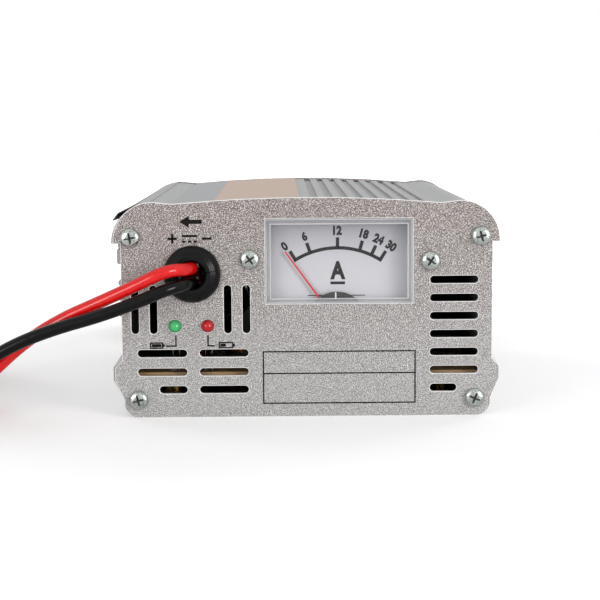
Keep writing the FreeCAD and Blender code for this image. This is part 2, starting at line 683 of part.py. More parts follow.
def meter_dial():
    """Printed plate that fills the case, with a hole for the needle's pin."""
    plate = box(case_x[0] + METER_WALL, case_x[1] - METER_WALL, dial_y, dial_y + DIAL_T,
                case_z[0] + METER_WALL, case_z[1] - METER_WALL)
    return plate.cut(rod(pivot_x, dial_y, pivot_z, 2.2, DIAL_T, AY))


def meter_movement():
    """Magnet ring with a slotted core behind the dial."""
    y = dial_y + DIAL_T
    depth = meter_back - METER_WALL - y
    ring = rod(pivot_x, y, pivot_z, 10.0, 9.0, AY)
    ring = ring.common(box(pivot_x - 10, pivot_x + 10, y, y + 9.0, case_z[0] + METER_WALL, pivot_z + 10))
    ring = ring.cut(rod(pivot_x, y, pivot_z, 3.2, depth, AY))
    arms = []
    for side in (-1, 1):
        x0, x1 = sorted((pivot_x + side * 5.5, pivot_x + side * 8.5))
        arms.append(box(x0, x1, y + 8.5, meter_back - METER_WALL, pivot_z - 2, pivot_z + 2))
    return joined([ring] + arms)


def meter_movement_cover():
    """Black half-disc in front of the needle's hub, standing on the case floor."""
    y0 = needle_y - NEEDLE_T / 2 - 1.6
    floor = case_z[0] + METER_WALL
    disc = rod(pivot_x, y0, pivot_z, COVER_R, 1.0, AY)
    disc = disc.common(box(pivot_x - COVER_R, pivot_x + COVER_R, y0, y0 + 1.0, floor, pivot_z + COVER_R))
    posts = []
    for side in (-1, 1):
        x0, x1 = sorted((pivot_x + side * 8.6, pivot_x + side * 10.4))
        posts.append(box(x0, x1, y0 + 0.5, dial_y, floor, floor + 2.0))
    return joined([disc] + posts)


def meter_pointer():
    """Needle with its hub, pin and counterweight, at the zero mark."""
    half = NEEDLE_T / 2
    reach = NEEDLE_REACH
    outline = [(-NEEDLE_W / 2, 0), (-NEEDLE_W / 3, reach), (NEEDLE_W / 3, reach), (NEEDLE_W / 2, 0),
               (0.9, -4.0), (-0.9, -4.0)]
    corners = [V(pivot_x + x, needle_y - half, pivot_z + z) for x, z in outline]
    needle = Part.Face(Part.makePolygon(corners + corners[:1])).extrude(V(0, NEEDLE_T, 0))
    hub = rod(pivot_x, needle_y - 0.8, pivot_z, 1.8, 1.6, AY)
    pin_end = meter_back - METER_WALL - 1.2
    pin = rod(pivot_x, needle_y, pivot_z, PIVOT_PIN_R, pin_end - needle_y, AY)
    pointer = joined([needle, hub, pin])
    pointer.rotate(V(pivot_x, 0, pivot_z), AY, NEEDLE_REST)
    return pointer


save("meter_case", meter_case())
save("meter_lens", meter_lens())
save("meter_dial", meter_dial())
save("meter_movement", meter_movement())
save("meter_movement_cover", meter_movement_cover())
save("meter_pointer", meter_pointer())


# Fan behind the rear panel

fan_front = BACK_Y - FAN_DEPTH      # inner end, with the struts
rotor_end = BACK_Y - HUB_CLEARANCE
rotor_start = rotor_end - HUB_DEPTH
strut_end = fan_front + STRUT_T


def fan_frame():
    """Square frame with two flanges, a round duct, struts and a bearing plate."""
    x = PANEL_SHIFT
    half = FAN_SIZE / 2
    block = rounded_box(x - half, x + half, fan_front, BACK_Y, FAN_Z - half, FAN_Z + half, AY, 3.5)
    duct_r = FAN_BORE_R + FAN_RING_T
    waist0 = fan_front + FAN_FLANGE_T
    waist1 = BACK_Y - FAN_FLANGE_T
    waist = box(x - half, x + half, waist0, waist1, FAN_Z - half, FAN_Z + half)
    block = block.cut(waist.cut(rod(x, waist0, FAN_Z, duct_r, waist1 - waist0, AY)))
    block = block.cut(rod(x, fan_front, FAN_Z, FAN_BORE_R, FAN_DEPTH, AY))
    plate = rod(x, fan_front, FAN_Z, HUB_R, STRUT_T, AY)
    struts = []
    for angle in SPOKE_ANGLES:
        strut = box(HUB_R - 1, FAN_BORE_R + 0.5, fan_front, strut_end, -STRUT_W / 2, STRUT_W / 2)
        strut.rotate(V(0, 0, 0), AY, 60 - angle)
        strut.translate(V(x, 0, FAN_Z))
        struts.append(strut)
    frame = block.fuse([plate] + struts)
    holes = [rod(x, fan_front, FAN_Z, BUSH_R, STRUT_T, AY)]
    for sx in (-1, 1):
        for sz in (-1, 1):
            cx = x + sx * FAN_HOLE_PITCH / 2
            cz = FAN_Z + sz * FAN_HOLE_PITCH / 2
            holes.append(rod(cx, fan_front, cz, FAN_SCREW_R + THREAD_GAP, FAN_DEPTH, AY))
    return frame.cut(holes).removeSplitter()


def blade_section(radius, chord, pitch):
    """Cambered blade section at one radius, square to the radius."""
    half = chord / 2
    rise = chord * BLADE_CAMBER
    tip = BLADE_T / 4
    upper = Part.Arc(V(-half, 0, tip), V(0, 0, rise + BLADE_T / 2), V(half, 0, tip)).toShape()
    lower = Part.Arc(V(-half, 0, -tip), V(0, 0, rise - BLADE_T / 2), V(half, 0, -tip)).toShape()
    nose = Part.LineSegment(V(-half, 0, -tip), V(-half, 0, tip)).toShape()
    tail = Part.LineSegment(V(half, 0, -tip), V(half, 0, tip)).toShape()
    wire = Part.Wire(Part.__sortEdges__([upper, lower, nose, tail]))
    wire.rotate(V(0, 0, 0), AX, 90)
    wire.rotate(V(0, 0, 0), AZ, pitch)
    wire.translate(V(0, 0, radius))
    return wire


def fan_rotor():
    """Cup with twisted, cambered blades lofted from root to tip."""
    x = PANEL_SHIFT
    inner_r = HUB_R - 2 * HUB_WALL
    cap_y = rotor_end - HUB_WALL
    profile = [(SHAFT_R, rotor_end), (HUB_R - 1.5, rotor_end), (HUB_R, rotor_end - 1.5), (HUB_R, rotor_start),
               (inner_r, rotor_start), (inner_r, cap_y), (SHAFT_R + 1.5, cap_y), (SHAFT_R + 1.5, cap_y - 2),
               (SHAFT_R, cap_y - 2)]
    hub = turned(profile, x, FAN_Z)
    middle = (rotor_start + rotor_end) / 2
    radii = (HUB_R - HUB_WALL, (HUB_R + BLADE_R) / 2, BLADE_R + 1.2)
    sections = [blade_section(*values) for values in zip(radii, BLADE_CHORDS, BLADE_PITCHES)]
    blade = Part.makeLoft(sections, True, False)
    blade = blade.common(rod(0, -FAN_DEPTH, 0, BLADE_R, 2 * FAN_DEPTH, AY))
    blade = blade.cut(rod(0, -FAN_DEPTH, 0, HUB_R - HUB_WALL, 2 * FAN_DEPTH, AY))
    blades = []
    for number in range(BLADE_COUNT):
        copy = blade.copy()
        copy.rotate(V(0, 0, 0), AY, 360 * number / BLADE_COUNT)
        copy.translate(V(x, middle, FAN_Z))
        blades.append(copy)
    return hub.fuse(blades).removeSplitter()


def fan_stator():
    """Four-pole core with a coil on each arm, round the bearing bush."""
    x = PANEL_SHIFT
    y0 = rotor_start + 1.0
    depth = 6.0
    reach = HUB_R - 2 * HUB_WALL - 0.8
    core = rod(x, y0, FAN_Z, BUSH_R + 2.0, depth, AY)
    poles = []
    coils = []
    rim = rod(x, y0, FAN_Z, reach, depth, AY).cut(rod(x, y0, FAN_Z, reach - 1.4, depth, AY))
    for number in range(4):
        wedge = box(0, reach, y0, y0 + depth, -1.2, 1.2)
        shoe = rim.common(box(x, x + reach, y0, y0 + depth, FAN_Z - 5.5, FAN_Z + 5.5))
        coil = box(BUSH_R + 2.6, reach - 2.0, y0 - 0.6, y0 + depth + 0.6, -2.6, 2.6)
        wedge.rotate(V(0, 0, 0), AY, 90 * number)
        wedge.translate(V(x, 0, FAN_Z))
        shoe.rotate(V(x, 0, FAN_Z), AY, 90 * number)
        coil.rotate(V(0, 0, 0), AY, 90 * number)
        coil.translate(V(x, 0, FAN_Z))
        poles += [wedge, shoe]
        coils.append(coil)
    return core.fuse(poles + coils).cut(rod(x, y0 - 1, FAN_Z, BUSH_R, depth + 2, AY)).removeSplitter()


fan_bush = turned([(SHAFT_R + SHAFT_GAP, fan_front), (BUSH_R, fan_front), (BUSH_R, rotor_end - HUB_WALL - 3),
                   (SHAFT_R + SHAFT_GAP, rotor_end - HUB_WALL - 3)], PANEL_SHIFT, FAN_Z)
save("fan_frame", fan_frame())
save("fan_rotor", fan_rotor())
save("fan_shaft", rod(PANEL_SHIFT, fan_front + 0.5, FAN_Z, SHAFT_R, rotor_end - fan_front - 0.5, AY))
save("fan_bush", fan_bush)
save("fan_stator", fan_stator())


# Routes of the leads


def rounded_route(points):
    """Straight runs joined by tangent arcs, each as large as its two runs allow."""
    edges = []
    radii = []
    start = points[0]
    for before, here, after in zip(points, points[1:], points[2:]):
        come = here - before
        go = after - here
        cut = 0.45 * min(come.Length, go.Length)
        radius = cut / math.tan(come.getAngle(go) / 2)
        enter = here - come.normalize() * cut
        leave = here + go.normalize() * cut
        middle = (enter + leave) * 0.5
        inward = (middle - here).normalize()
        top = here + inward * (math.hypot(cut, radius) - radius)
        edges.append(Part.LineSegment(start, enter).toShape())
        edges.append(Part.Arc(enter, top, leave).toShape())
        radii.append(round(radius, 1))
        start = leave
    edges.append(Part.LineSegment(start, points[-1]).toShape())
    return edges, radii


def tube(edges, radius):
    """Round solid along connected, tangent edges."""
    wire = Part.Wire(edges)
    start = edges[0].valueAt(edges[0].FirstParameter)
    along = edges[0].tangentAt(edges[0].FirstParameter)
    profile = Part.Wire(Part.makeCircle(radius, start, along))
    solid = wire.makePipeShell([profile], True, False)
    ideal = math.pi * radius ** 2 * wire.Length
    print("  route", round(wire.Length, 1), "mm, volume over ideal", round(solid.Volume / ideal, 4))
    return solid


def lead_tube(name, points, radius):
    """Free stretch of a lead; prints its bend radii in lead diameters."""
    edges, radii = rounded_route(points)
    print("  radii of", name, [round(r / (2 * radius), 1) for r in radii])
    return tube(edges, radius)


def coil_point(centre, start, radius, rate, turns, climb, angle):
    """Point and direction on a clockwise coil that spirals in, climbs and spirals out."""
    inward = (2 * math.pi * turns - math.pi) / 2
    share = min(max((angle - inward) / math.pi, 0), 1)
    r = radius - rate * min(angle, inward) - rate * math.pi * share * (1 - share)
    r += rate * max(angle - inward - math.pi, 0)
    slope = rate * (2 * share - 1)
    rise = climb * share ** 2 * (3 - 2 * share)
    steep = 6 * climb * share * (1 - share) / math.pi
    a = math.radians(start) - angle
    point = V(centre.x + r * math.cos(a), centre.y + r * math.sin(a), centre.z + rise)
    ahead = V(slope * math.cos(a) + r * math.sin(a), slope * math.sin(a) - r * math.cos(a), steep)
    return point, ahead.normalize()


def arc_through(a, b, apex):
    """Arc from a to b whose tangents meet at the apex."""
    middle = (a + b) * 0.5
    half = (b - a).Length / 2
    height = (apex - middle).Length
    radius = half * (apex - a).Length / height
    rise = radius - math.sqrt(radius ** 2 - half ** 2)
    return Part.Arc(a, middle + (apex - middle) * (rise / height), b).toShape()


def biarc(p0, t0, p1, t1):
    """Two arcs that leave p0 along t0 and reach p1 along t1."""
    span = p1 - p0
    turn = 1 - t0.dot(t1)
    along = span.dot(t0 + t1)
    d = (math.sqrt(along ** 2 + 2 * turn * span.dot(span)) - along) / (2 * turn)
    joint = (p0 + t0 * d + p1 - t1 * d) * 0.5
    return [arc_through(p0, joint, p0 + t0 * d), arc_through(joint, p1, p1 - t1 * d)]


def coil_edges(place, turns):
    """Biarcs of a quarter turn along a coil; place holds the values of coil_point."""
    steps = math.ceil(4 * turns)
    whole = 2 * math.pi * turns
    stops = [coil_point(*place, whole * step / steps) for step in range(steps + 1)]
    edges = []
    for (p0, t0), (p1, t1) in zip(stops, stops[1:]):
        edges += biarc(p0, t0, p1, t1)
    return edges


def coil_gap(place, turns, radius):
    """Least gap between stretches of a coil that are over a third of a turn apart."""
    per_turn = 72
    count = int(per_turn * turns)
    points = [coil_point(*place, 2 * math.pi * n / per_turn)[0] for n in range(count)]
    least = min((a - b).Length for i, a in enumerate(points) for b in points[i + per_turn // 3:])
    return least - 2 * radius


def coil_place(centre, start, radius, pitch, turns, climb):
    """Values that place a coil's points."""
    return centre, start, radius, pitch / (2 * math.pi), turns, climb


def put_away(name, place, turns, radius, tail):
    """Coil as one tube: a straight start, the turns and the tail to what follows."""
    first, entering = coil_point(*place, 0)
    last, leaving = coil_point(*place, 2 * math.pi * turns)
    ahead = (tail[0] - last).Length
    route = [last, last + leaving * ahead] + tail[1:]
    tail_edges, radii = rounded_route(route)
    print("  radii of the tail of", name, [round(r / (2 * radius), 1) for r in radii])
    straight = Part.LineSegment(first - entering * 2 * radius, first).toShape()
    print("  least gap inside", name, round(coil_gap(place, turns, radius), 2), "mm")
    return tube([straight] + coil_edges(place, turns) + tail_edges, radius)


# Output leads: out of the grommet, past the left wall, down to their coils

lead_y = -BACK_Y
pair = LEAD_R + LEAD_GAP / 2
lead_pitch = 2 * LEAD_R + COIL_GAP
layer = 2 * LEAD_R + COIL_GAP - 0.1
pile_turns = 3.25
pile_layers = [FLOOR_GAP + LEAD_R + layer * number for number in range(4)]


def pile_place(start_layer, end_layer):
    """One lead's coil in the pile, from one layer to the next."""
    centre = V(PILE_X, PILE_Y, pile_layers[start_layer])
    climb = pile_layers[end_layer] - pile_layers[start_layer]
    return coil_place(centre, 270.0, PILE_R, lead_pitch, pile_turns, climb)


red_place = pile_place(1, 0)
black_place = pile_place(2, 3)


def run_in(place, radius, run):
    """Last two points of a lead, in line with the straight start of its coil."""
    first, entering = coil_point(*place, 0)
    end = first - entering * 2 * radius
    return [end - entering * run, end]


exit_y = -END_Y - GROMMET_PROUD - 4.4
red_z = output_z + pair
black_z = output_z - pair
red_points = [V(output_x, lead_y, red_z), V(output_x, exit_y, red_z), V(-51.2, -106.6, 58.4),
              V(-62.6, -105.4, 52.8), V(-77.0, -103.4, 46.2), V(-92.0, -101.0, 39.6),
              V(-106.5, -100.4, 30.4), V(-119.5, -101.8, 18.2)]
red_points = red_points + run_in(red_place, LEAD_R, 15.0)
black_points = [V(output_x, lead_y, black_z), V(output_x, exit_y, black_z), V(-51.0, -107.2, 51.6),
                V(-62.8, -107.2, 46.4), V(-77.5, -107.0, 41.2), V(-92.3, -107.0, 37.2),
                V(-107.0, -107.2, 31.8), V(-120.5, -107.4, 24.2)]
black_points = black_points + run_in(black_place, LEAD_R, 14.0)
save("red_lead", lead_tube("red_lead", red_points, LEAD_R))
save("black_lead", lead_tube("black_lead", black_points, LEAD_R))


# Clamps


def clamp_frame(lift, angle):
    """Placement of a clamp whose lead enters beside the pile."""
    last, leaving = coil_point(*red_place, 2 * math.pi * pile_turns)
    entry = V(last.x + 0.8, PILE_Y + PILE_R + 10.0, lift)
    local = V(-SLEEVE_LENGTH / 4, ENTRY_Y, 0)
    turn = FreeCAD.Rotation(AZ, 90 + angle)
    return FreeCAD.Placement(entry - turn.multVec(local), turn)


red_frame = clamp_frame(0.0, 1.0)
black_frame = clamp_frame(CLAMP_H + EAR_PLATE_GAP, 5.0)


def placed(shape, frame):
    """Copy of a shape moved from the clamp's frame to the part's."""
    moved = shape.copy()
    moved.Placement = frame.multiply(moved.Placement)
    return moved


def lever_body(side):
    """Handle and jaw cover on one side of the pivot."""
    jaw_y = 3.6
    waist_y = EAR_PLATE_R + 0.8
    tip = CLAMP_LENGTH
    p = CLAMP_PIVOT
    outer = [Part.Arc(V(0, CLAMP_SPREAD, 0), V(20, CLAMP_SPREAD - 2.6, 0), V(p - 3, 10.4, 0)),
             Part.Arc(V(p - 3, 10.4, 0), V(p + 16, 11.0, 0), V(tip, 3.4, 0))]
    inner = [V(tip, 3.4, 0), V(tip, 0.4, 0), V(tip - 1.5, 0.4, 0), V(tip - 1.5, jaw_y, 0), V(p + 7, jaw_y, 0),
             V(p + 5, waist_y, 0), V(p - 5, waist_y, 0)]
    handle = Part.Arc(V(p - 5, waist_y, 0), V(19, CLAMP_SPREAD - 8.2, 0), V(0, CLAMP_SPREAD - 5.0, 0))
    curves = outer + [Part.LineSegment(a, b) for a, b in zip(inner, inner[1:])]
    curves += [handle, Part.LineSegment(V(0, CLAMP_SPREAD - 5.0, 0), V(0, CLAMP_SPREAD, 0))]
    face = Part.Face(Part.Wire([curve.toShape() for curve in curves]))
    body = face.extrude(V(0, 0, CLAMP_H))
    if side < 0:
        body = body.mirror(V(0, 0, 0), AY)
    return body


def ear_levels(side):
    """Heights of a lever's two ear plates: outside on one side, inside on the other."""
    inset = 0 if side > 0 else EAR_PLATE_T + EAR_PLATE_GAP
    return inset, CLAMP_H - inset - EAR_PLATE_T


def lever(side):
    """Lever with its ear plates; the one with y > 0 also holds the lead's sleeve."""
    parts = [lever_body(side)]
    for z in ear_levels(side):
        parts.append(rod(CLAMP_PIVOT, 0, z, EAR_PLATE_R, EAR_PLATE_T, AZ))
        y0, y1 = sorted((0, side * (EAR_PLATE_R + 2)))
        parts.append(box(CLAMP_PIVOT - 4, CLAMP_PIVOT + 4, y0, y1, z, z + EAR_PLATE_T))
    bore = [rod(CLAMP_PIVOT, 0, 0, CLAMP_PIN_R + PIN_GAP, CLAMP_H, AZ)]
    if side > 0:
        middle = CLAMP_H / 2
        parts.append(rod(-SLEEVE_LENGTH, ENTRY_Y, middle, SLEEVE_R, SLEEVE_LENGTH + 6, AX))
        depth = SLEEVE_LENGTH * 0.75
        bore.append(rod(-SLEEVE_LENGTH, ENTRY_Y, middle, LEAD_R + LEAD_GAP / 2, depth, AX))
    return joined(parts).cut(bore)


def jaw_plate(side):
    """Toothed metal plate inside a jaw; the two rows of teeth are half a pitch apart."""
    start = CLAMP_PIVOT + 7.4 + (0 if side > 0 else TOOTH_PITCH / 2)
    back = 3.6
    root = back - 1.0
    outline = [(start, back), (start, root)]
    for number in range(JAW_TEETH):
        x = start + number * TOOTH_PITCH
        outline += [(x + TOOTH_PITCH / 2, root - TOOTH_H), (x + TOOTH_PITCH, root)]
    outline += [(start + JAW_TEETH * TOOTH_PITCH, back)]
    plate = plate_xy([(x, side * y) for x, y in outline], 1.5, CLAMP_H - 1.5)
    return plate


def clamp_spring():
    """Torsion spring round the pin with an arm along each handle."""
    turns = 2.5
    rise = SPRING_PITCH * turns
    base = (CLAMP_H - rise) / 2
    steps = int(4 * turns)
    stops = []
    for step in range(steps + 1):
        a = math.pi / 2 - 2 * math.pi * turns * step / steps
        z = base + rise * step / steps
        point = V(CLAMP_PIVOT + SPRING_R * math.cos(a), SPRING_R * math.sin(a), z)
        ahead = V(SPRING_R * math.sin(a), -SPRING_R * math.cos(a), SPRING_PITCH / (2 * math.pi))
        stops.append((point, ahead.normalize()))
    edges = []
    for (p0, t0), (p1, t1) in zip(stops, stops[1:]):
        edges += biarc(p0, t0, p1, t1)
    arm = CLAMP_PIVOT * 0.45
    first, entering = stops[0]
    last, leaving = stops[-1]
    edges = [Part.LineSegment(first - entering * arm, first).toShape()] + edges
    edges.append(Part.LineSegment(last, last + leaving * arm).toShape())
    return tube(edges, SPRING_WIRE_R)


fixed_lever = lever(1)
moving_lever = lever(-1)
fixed_jaw = jaw_plate(1)
moving_jaw = jaw_plate(-1)
pivot_pin = rod(CLAMP_PIVOT, 0, 0, CLAMP_PIN_R, CLAMP_H, AZ)
torsion_spring = clamp_spring()
for colour, frame in (("red", red_frame), ("black", black_frame)):
    save(colour + "_clamp_fixed_lever", placed(fixed_lever, frame))
    save(colour + "_clamp_moving_lever", placed(moving_lever, frame))
    save(colour + "_clamp_fixed_jaw", placed(fixed_jaw, frame))
    save(colour + "_clamp_moving_jaw", placed(moving_jaw, frame))
    save(colour + "_clamp_pin", placed(pivot_pin, frame))
    save(colour + "_clamp_spring", placed(torsion_spring, frame))
    pivot = frame.multVec(V(CLAMP_PIVOT, 0, 0))
    print("  pivot of the", colour, "clamp", [round(c, 4) for c in pivot])


def clamp_tail(place, frame):
    """Points from the end of a coil into the sleeve of its clamp."""
    last, leaving = coil_point(*place, 2 * math.pi * pile_turns)
    middle = CLAMP_H / 2
    end = frame.multVec(V(-SLEEVE_LENGTH / 4, ENTRY_Y, middle))
    before = frame.multVec(V(-SLEEVE_LENGTH / 4 - 12.5, ENTRY_Y, middle))
    return [last + leaving * 11.0, before, end]


save("red_coil", put_away("red_coil", red_place, pile_turns, LEAD_R, clamp_tail(red_place, red_frame)))
save("black_coil", put_away("black_coil", black_place, pile_turns, LEAD_R,
                            clamp_tail(black_place, black_frame)))


# Mains lead: out of the rear grommet, round behind the case into its coil

mains_turns = 4 + (90 + 125) / 360
mains_floor = FLOOR_GAP + MAINS_R
mains_place = coil_place(V(MAINS_COIL_X, MAINS_COIL_Y - 4.0, mains_floor), 90.0, MAINS_COIL_R,
                         2 * MAINS_R + COIL_GAP, mains_turns, MAINS_LAYER)
mains_points = [V(input_x, BACK_Y, INPUT_Z), V(input_x, 101.5, INPUT_Z), V(-56.5, 110.4, 22.0),
                V(-72.5, 112.8, 20.6), V(-84.0, 121.5, 18.8), V(-91.4, 136.8, 16.0), V(-92.0, 154.8, 12.8),
                V(-86.5, 171.6, 9.4), V(-75.0, 184.2, 6.6), V(-56.4, 190.8, 4.7), V(-34.5, 193.2, 4.0)]
mains_points = mains_points + run_in(mains_place, MAINS_R, 23.0)
save("mains_lead", lead_tube("mains_lead", mains_points, MAINS_R))

# Plug, lying flat inside the bend of the lead, in its own frame: the cord
# enters at the origin and the blades point along +x

PLUG_NECK = 10.0
PLUG_LENGTH = 30.0
PLUG_W = 27.0
PLUG_H = 16.8
PLUG_WAIST_W = 20.0
BLADE_LENGTH = 17.0
BLADE_W = 6.3
BLADE_THICK = 1.5
BLADE_SPACING = 12.7
plug_z = FLOOR_GAP + PLUG_H / 2
mains_end, mains_leaving = coil_point(*mains_place, 2 * math.pi * mains_turns)
plug_entry = V(mains_end.x - 29.5, mains_end.y + 20.4, plug_z)
plug_angle = math.degrees(math.atan2(mains_leaving.y, mains_leaving.x))
plug_frame = FreeCAD.Placement(plug_entry, FreeCAD.Rotation(AZ, plug_angle))


def rounded_section(x, width, height, radius):
    """Rounded rectangle square to x."""
    face = rounded_box(x, x + 1, -width / 2, width / 2, -height / 2, height / 2, AX, radius)
    ends = [f for f in face.Faces if abs(f.CenterOfMass.x - x) < 1e-6]
    return ends[0].OuterWire


def plug_body():
    """Moulded body that narrows from the blades' face to a ribbed neck."""
    start = PLUG_NECK
    end = PLUG_NECK + PLUG_LENGTH
    back = rounded_section(start, 14.0, 11.0, 3.0)
    waist = rounded_section(start + 9.0, PLUG_WAIST_W, PLUG_H - 3.0, 3.0)
    front = rounded_section(end, PLUG_W, PLUG_H, 3.0)
    body = Part.makeLoft([back, waist, front], True, True)
    neck = []
    for number in range(4):
        x = number * PLUG_NECK / 4
        neck.append(rod(x, 0, 0, MAINS_R + 1.4, PLUG_NECK / 8, AX))
    neck.append(rod(0, 0, 0, MAINS_R + 0.7, PLUG_NECK + 2, AX))
    bore = rod(0, 0, 0, MAINS_R + THREAD_GAP, 6.0, AX)
    return joined([body] + neck).cut([bore] + plug_blades())


def plug_blades():
    """Two flat blades with rounded tips, rooted in the body."""
    blades = []
    end = PLUG_NECK + PLUG_LENGTH
    for side in (-1, 1):
        y = side * BLADE_SPACING / 2
        x0 = end - 8.0
        y0, y1 = (y - BLADE_THICK / 2, y + BLADE_THICK / 2)
        blade = box(x0, end + BLADE_LENGTH, y0, y1, -BLADE_W / 2, BLADE_W / 2)
        tips = [e for e in blade.Edges
                if abs(e.CenterOfMass.x - end - BLADE_LENGTH) < 1e-6 and e.Length < BLADE_THICK + 0.1]
        blades.append(blade.makeFillet(BLADE_W * 0.3, tips))
    return blades


save("plug_body", placed(plug_body(), plug_frame))
save("plug_blades", placed(group(plug_blades()), plug_frame))
plug_depth = 6.0
mains_tail = [mains_end + mains_leaving * 12.0, plug_frame.multVec(V(plug_depth - 14.0, 0, 0)),
              plug_frame.multVec(V(plug_depth, 0, 0))]
save("mains_coil", put_away("mains_coil", mains_place, mains_turns, MAINS_R, mains_tail))


# Board with its parts inside the case

board_bottom = BOARD_TOP - BOARD_T
seat_z = BOARD_TOP + SEAT_GAP
side_inset, front_inset, rear_inset = STANDOFF_INSETS
standoff_places = [(side * (board_half - side_inset), y) for side in (-1, 1)
                   for y in (board_y[0] + front_inset, board_y[1] - rear_inset)]
core_y = (board_y[0] + board_y[1]) / 2 + CORE_SHIFT
sink_x = board_half - SINK_INSET
sink_y = (board_y[0] + SINK_END_INSETS[0], board_y[1] - SINK_END_INSETS[1])


def circuit_board():
    """Board with clearance holes over the standoffs."""
    board = box(-board_half, board_half, *board_y, board_bottom, BOARD_TOP)
    radius = SCREW_R + SCREW_HOLE_GAP
    return board.cut([rod(x, y, board_bottom, radius, BOARD_T, AZ) for x, y in standoff_places])


def standoffs():
    """Threaded pillars between the case floor and the board."""
    pillars = []
    for x, y in standoff_places:
        pillar = rod(x, y, FLOOR_Z, STANDOFF_R, board_bottom - FLOOR_Z, AZ)
        bore = rod(x, y, BOARD_TOP - BOARD_SCREW_LENGTH, SCREW_R + THREAD_GAP, BOARD_SCREW_LENGTH, AZ)
        pillars.append(pillar.cut(bore))
    return pillars


def board_screws():
    """Screws that hold the board on its pillars."""
    screws = []
    for x, y in standoff_places:
        head = rod(x, y, BOARD_TOP, BOARD_HEAD_R, BOARD_HEAD_H, AZ)
        shank = rod(x, y, BOARD_TOP - BOARD_SCREW_LENGTH, SCREW_R, BOARD_SCREW_LENGTH, AZ)
        screws.append(joined([head, shank]))
    return screws


def transformer_core():
    """Two ferrite E halves round the bobbin: outer limbs, yokes and a middle limb."""
    y0 = core_y - CORE_T / 2
    y1 = core_y + CORE_T / 2
    frame = box(-CORE_W / 2, CORE_W / 2, y0, y1, seat_z, seat_z + CORE_H)
    middle = 2 * LIMB
    gap = (CORE_W - 2 * LIMB - middle) / 2
    for side in (-1, 1):
        x0, x1 = sorted((side * middle / 2, side * (middle / 2 + gap)))
        frame = frame.cut(box(x0, x1, y0, y1, seat_z + LIMB, seat_z + CORE_H - LIMB))
    return frame


def transformer_winding():
    """Bobbin with a taped winding round the middle limb."""
    z0 = seat_z + LIMB + SEAT_GAP
    z1 = seat_z + CORE_H - LIMB - SEAT_GAP
    half = LIMB + WINDING_GAP
    deep = CORE_T / 2 + WINDING_GAP
    reach = CORE_W / 2 - LIMB - 2 * SEAT_GAP
    out = deep + reach - half
    inset = FLANGE_T * 0.8
    flanges = [box(-reach, reach, core_y - out, core_y + out, z, z + FLANGE_T) for z in (z0, z1 - FLANGE_T)]
    wound = rounded_box(inset - reach, reach - inset, core_y - out + inset, core_y + out - inset, z0, z1, AZ,
                        LIMB / 2)
    hole = box(-half, half, core_y - deep, core_y + deep, z0, z1)
    return joined([wound] + flanges).cut(hole)


def standing(profile, x, y):
    """Solid of revolution round an upright axis on the board, from (radius, height) pairs."""
    points = [V(x + r, y, BOARD_TOP + h) for r, h in profile]
    return Part.Face(Part.makePolygon(points + points[:1])).revolve(V(x, y, BOARD_TOP), AZ, 360)


def capacitor(x, y, radius, height):
    """Can with a rolled groove near its foot and a bevelled top."""
    depth, foot, top = CAN_GROOVE
    profile = [(0, 0), (radius, 0), (radius, foot), (radius - depth, (foot + top) / 2), (radius, top),
               (radius, height - CAN_BEVEL), (radius - CAN_BEVEL, height), (0, height)]
    return standing(profile, x, y)


def choke(x, y):
    """Drum core and the winding between its flanges."""
    radius, height = CHOKE_SIZE
    low = CHOKE_FLANGE_T
    high = height - CHOKE_FLANGE_T
    profile = [(0, 0), (radius, 0), (radius, low), (CHOKE_POST_R, low), (CHOKE_POST_R, high), (radius, high),
               (radius, height), (0, height)]
    inner = CHOKE_POST_R + CHOKE_GAP
    wound = [(inner, low + CHOKE_GAP), (CHOKE_WOUND_R, low + CHOKE_GAP), (CHOKE_WOUND_R, high - CHOKE_GAP),
             (inner, high - CHOKE_GAP)]
    return standing(profile, x, y), standing(wound, x, y)


def heat_sink(side):
    """Finned extrusion that stands on the board beside a wall."""
    x0, x1 = sorted((side * sink_x, side * (sink_x - SINK_T)))
    fins = [box(x0, x1, *sink_y, seat_z, seat_z + SINK_H)]
    pitch = (SINK_H - SINK_FIN_T) / (SINK_FIN_COUNT - 1)
    for number in range(SINK_FIN_COUNT):
        z = seat_z + number * pitch
        f0, f1 = sorted((side * (sink_x - SINK_T / 2), side * (sink_x + SINK_FIN)))
        fins.append(box(f0, f1, *sink_y, z, z + SINK_FIN_T))
    return joined(fins)


def power_transistor(side, y):
    """Flat package clamped to the heat sink, with a tab hole and three legs."""
    thick, wide, high = TRANSISTOR_SIZE
    hole_r, hole_z = TRANSISTOR_HOLE
    leg_t, leg_w, spacing = TRANSISTOR_LEG
    face = side * (sink_x - SINK_T)
    x0, x1 = sorted((face, face - side * thick))
    z0 = BOARD_TOP + TRANSISTOR_LIFT
    package = box(x0, x1, y - wide / 2, y + wide / 2, z0, z0 + high)
    package = package.cut(rod(x0, y, z0 + hole_z, hole_r, thick, AX))
    middle = (x0 + x1) / 2
    legs = []
    for number in (-1, 0, 1):
        y0 = y + number * spacing - leg_w / 2
        legs.append(box(middle - leg_t / 2, middle + leg_t / 2, y0, y0 + leg_w, BOARD_TOP, z0 + leg_w))
    return joined([package] + legs)


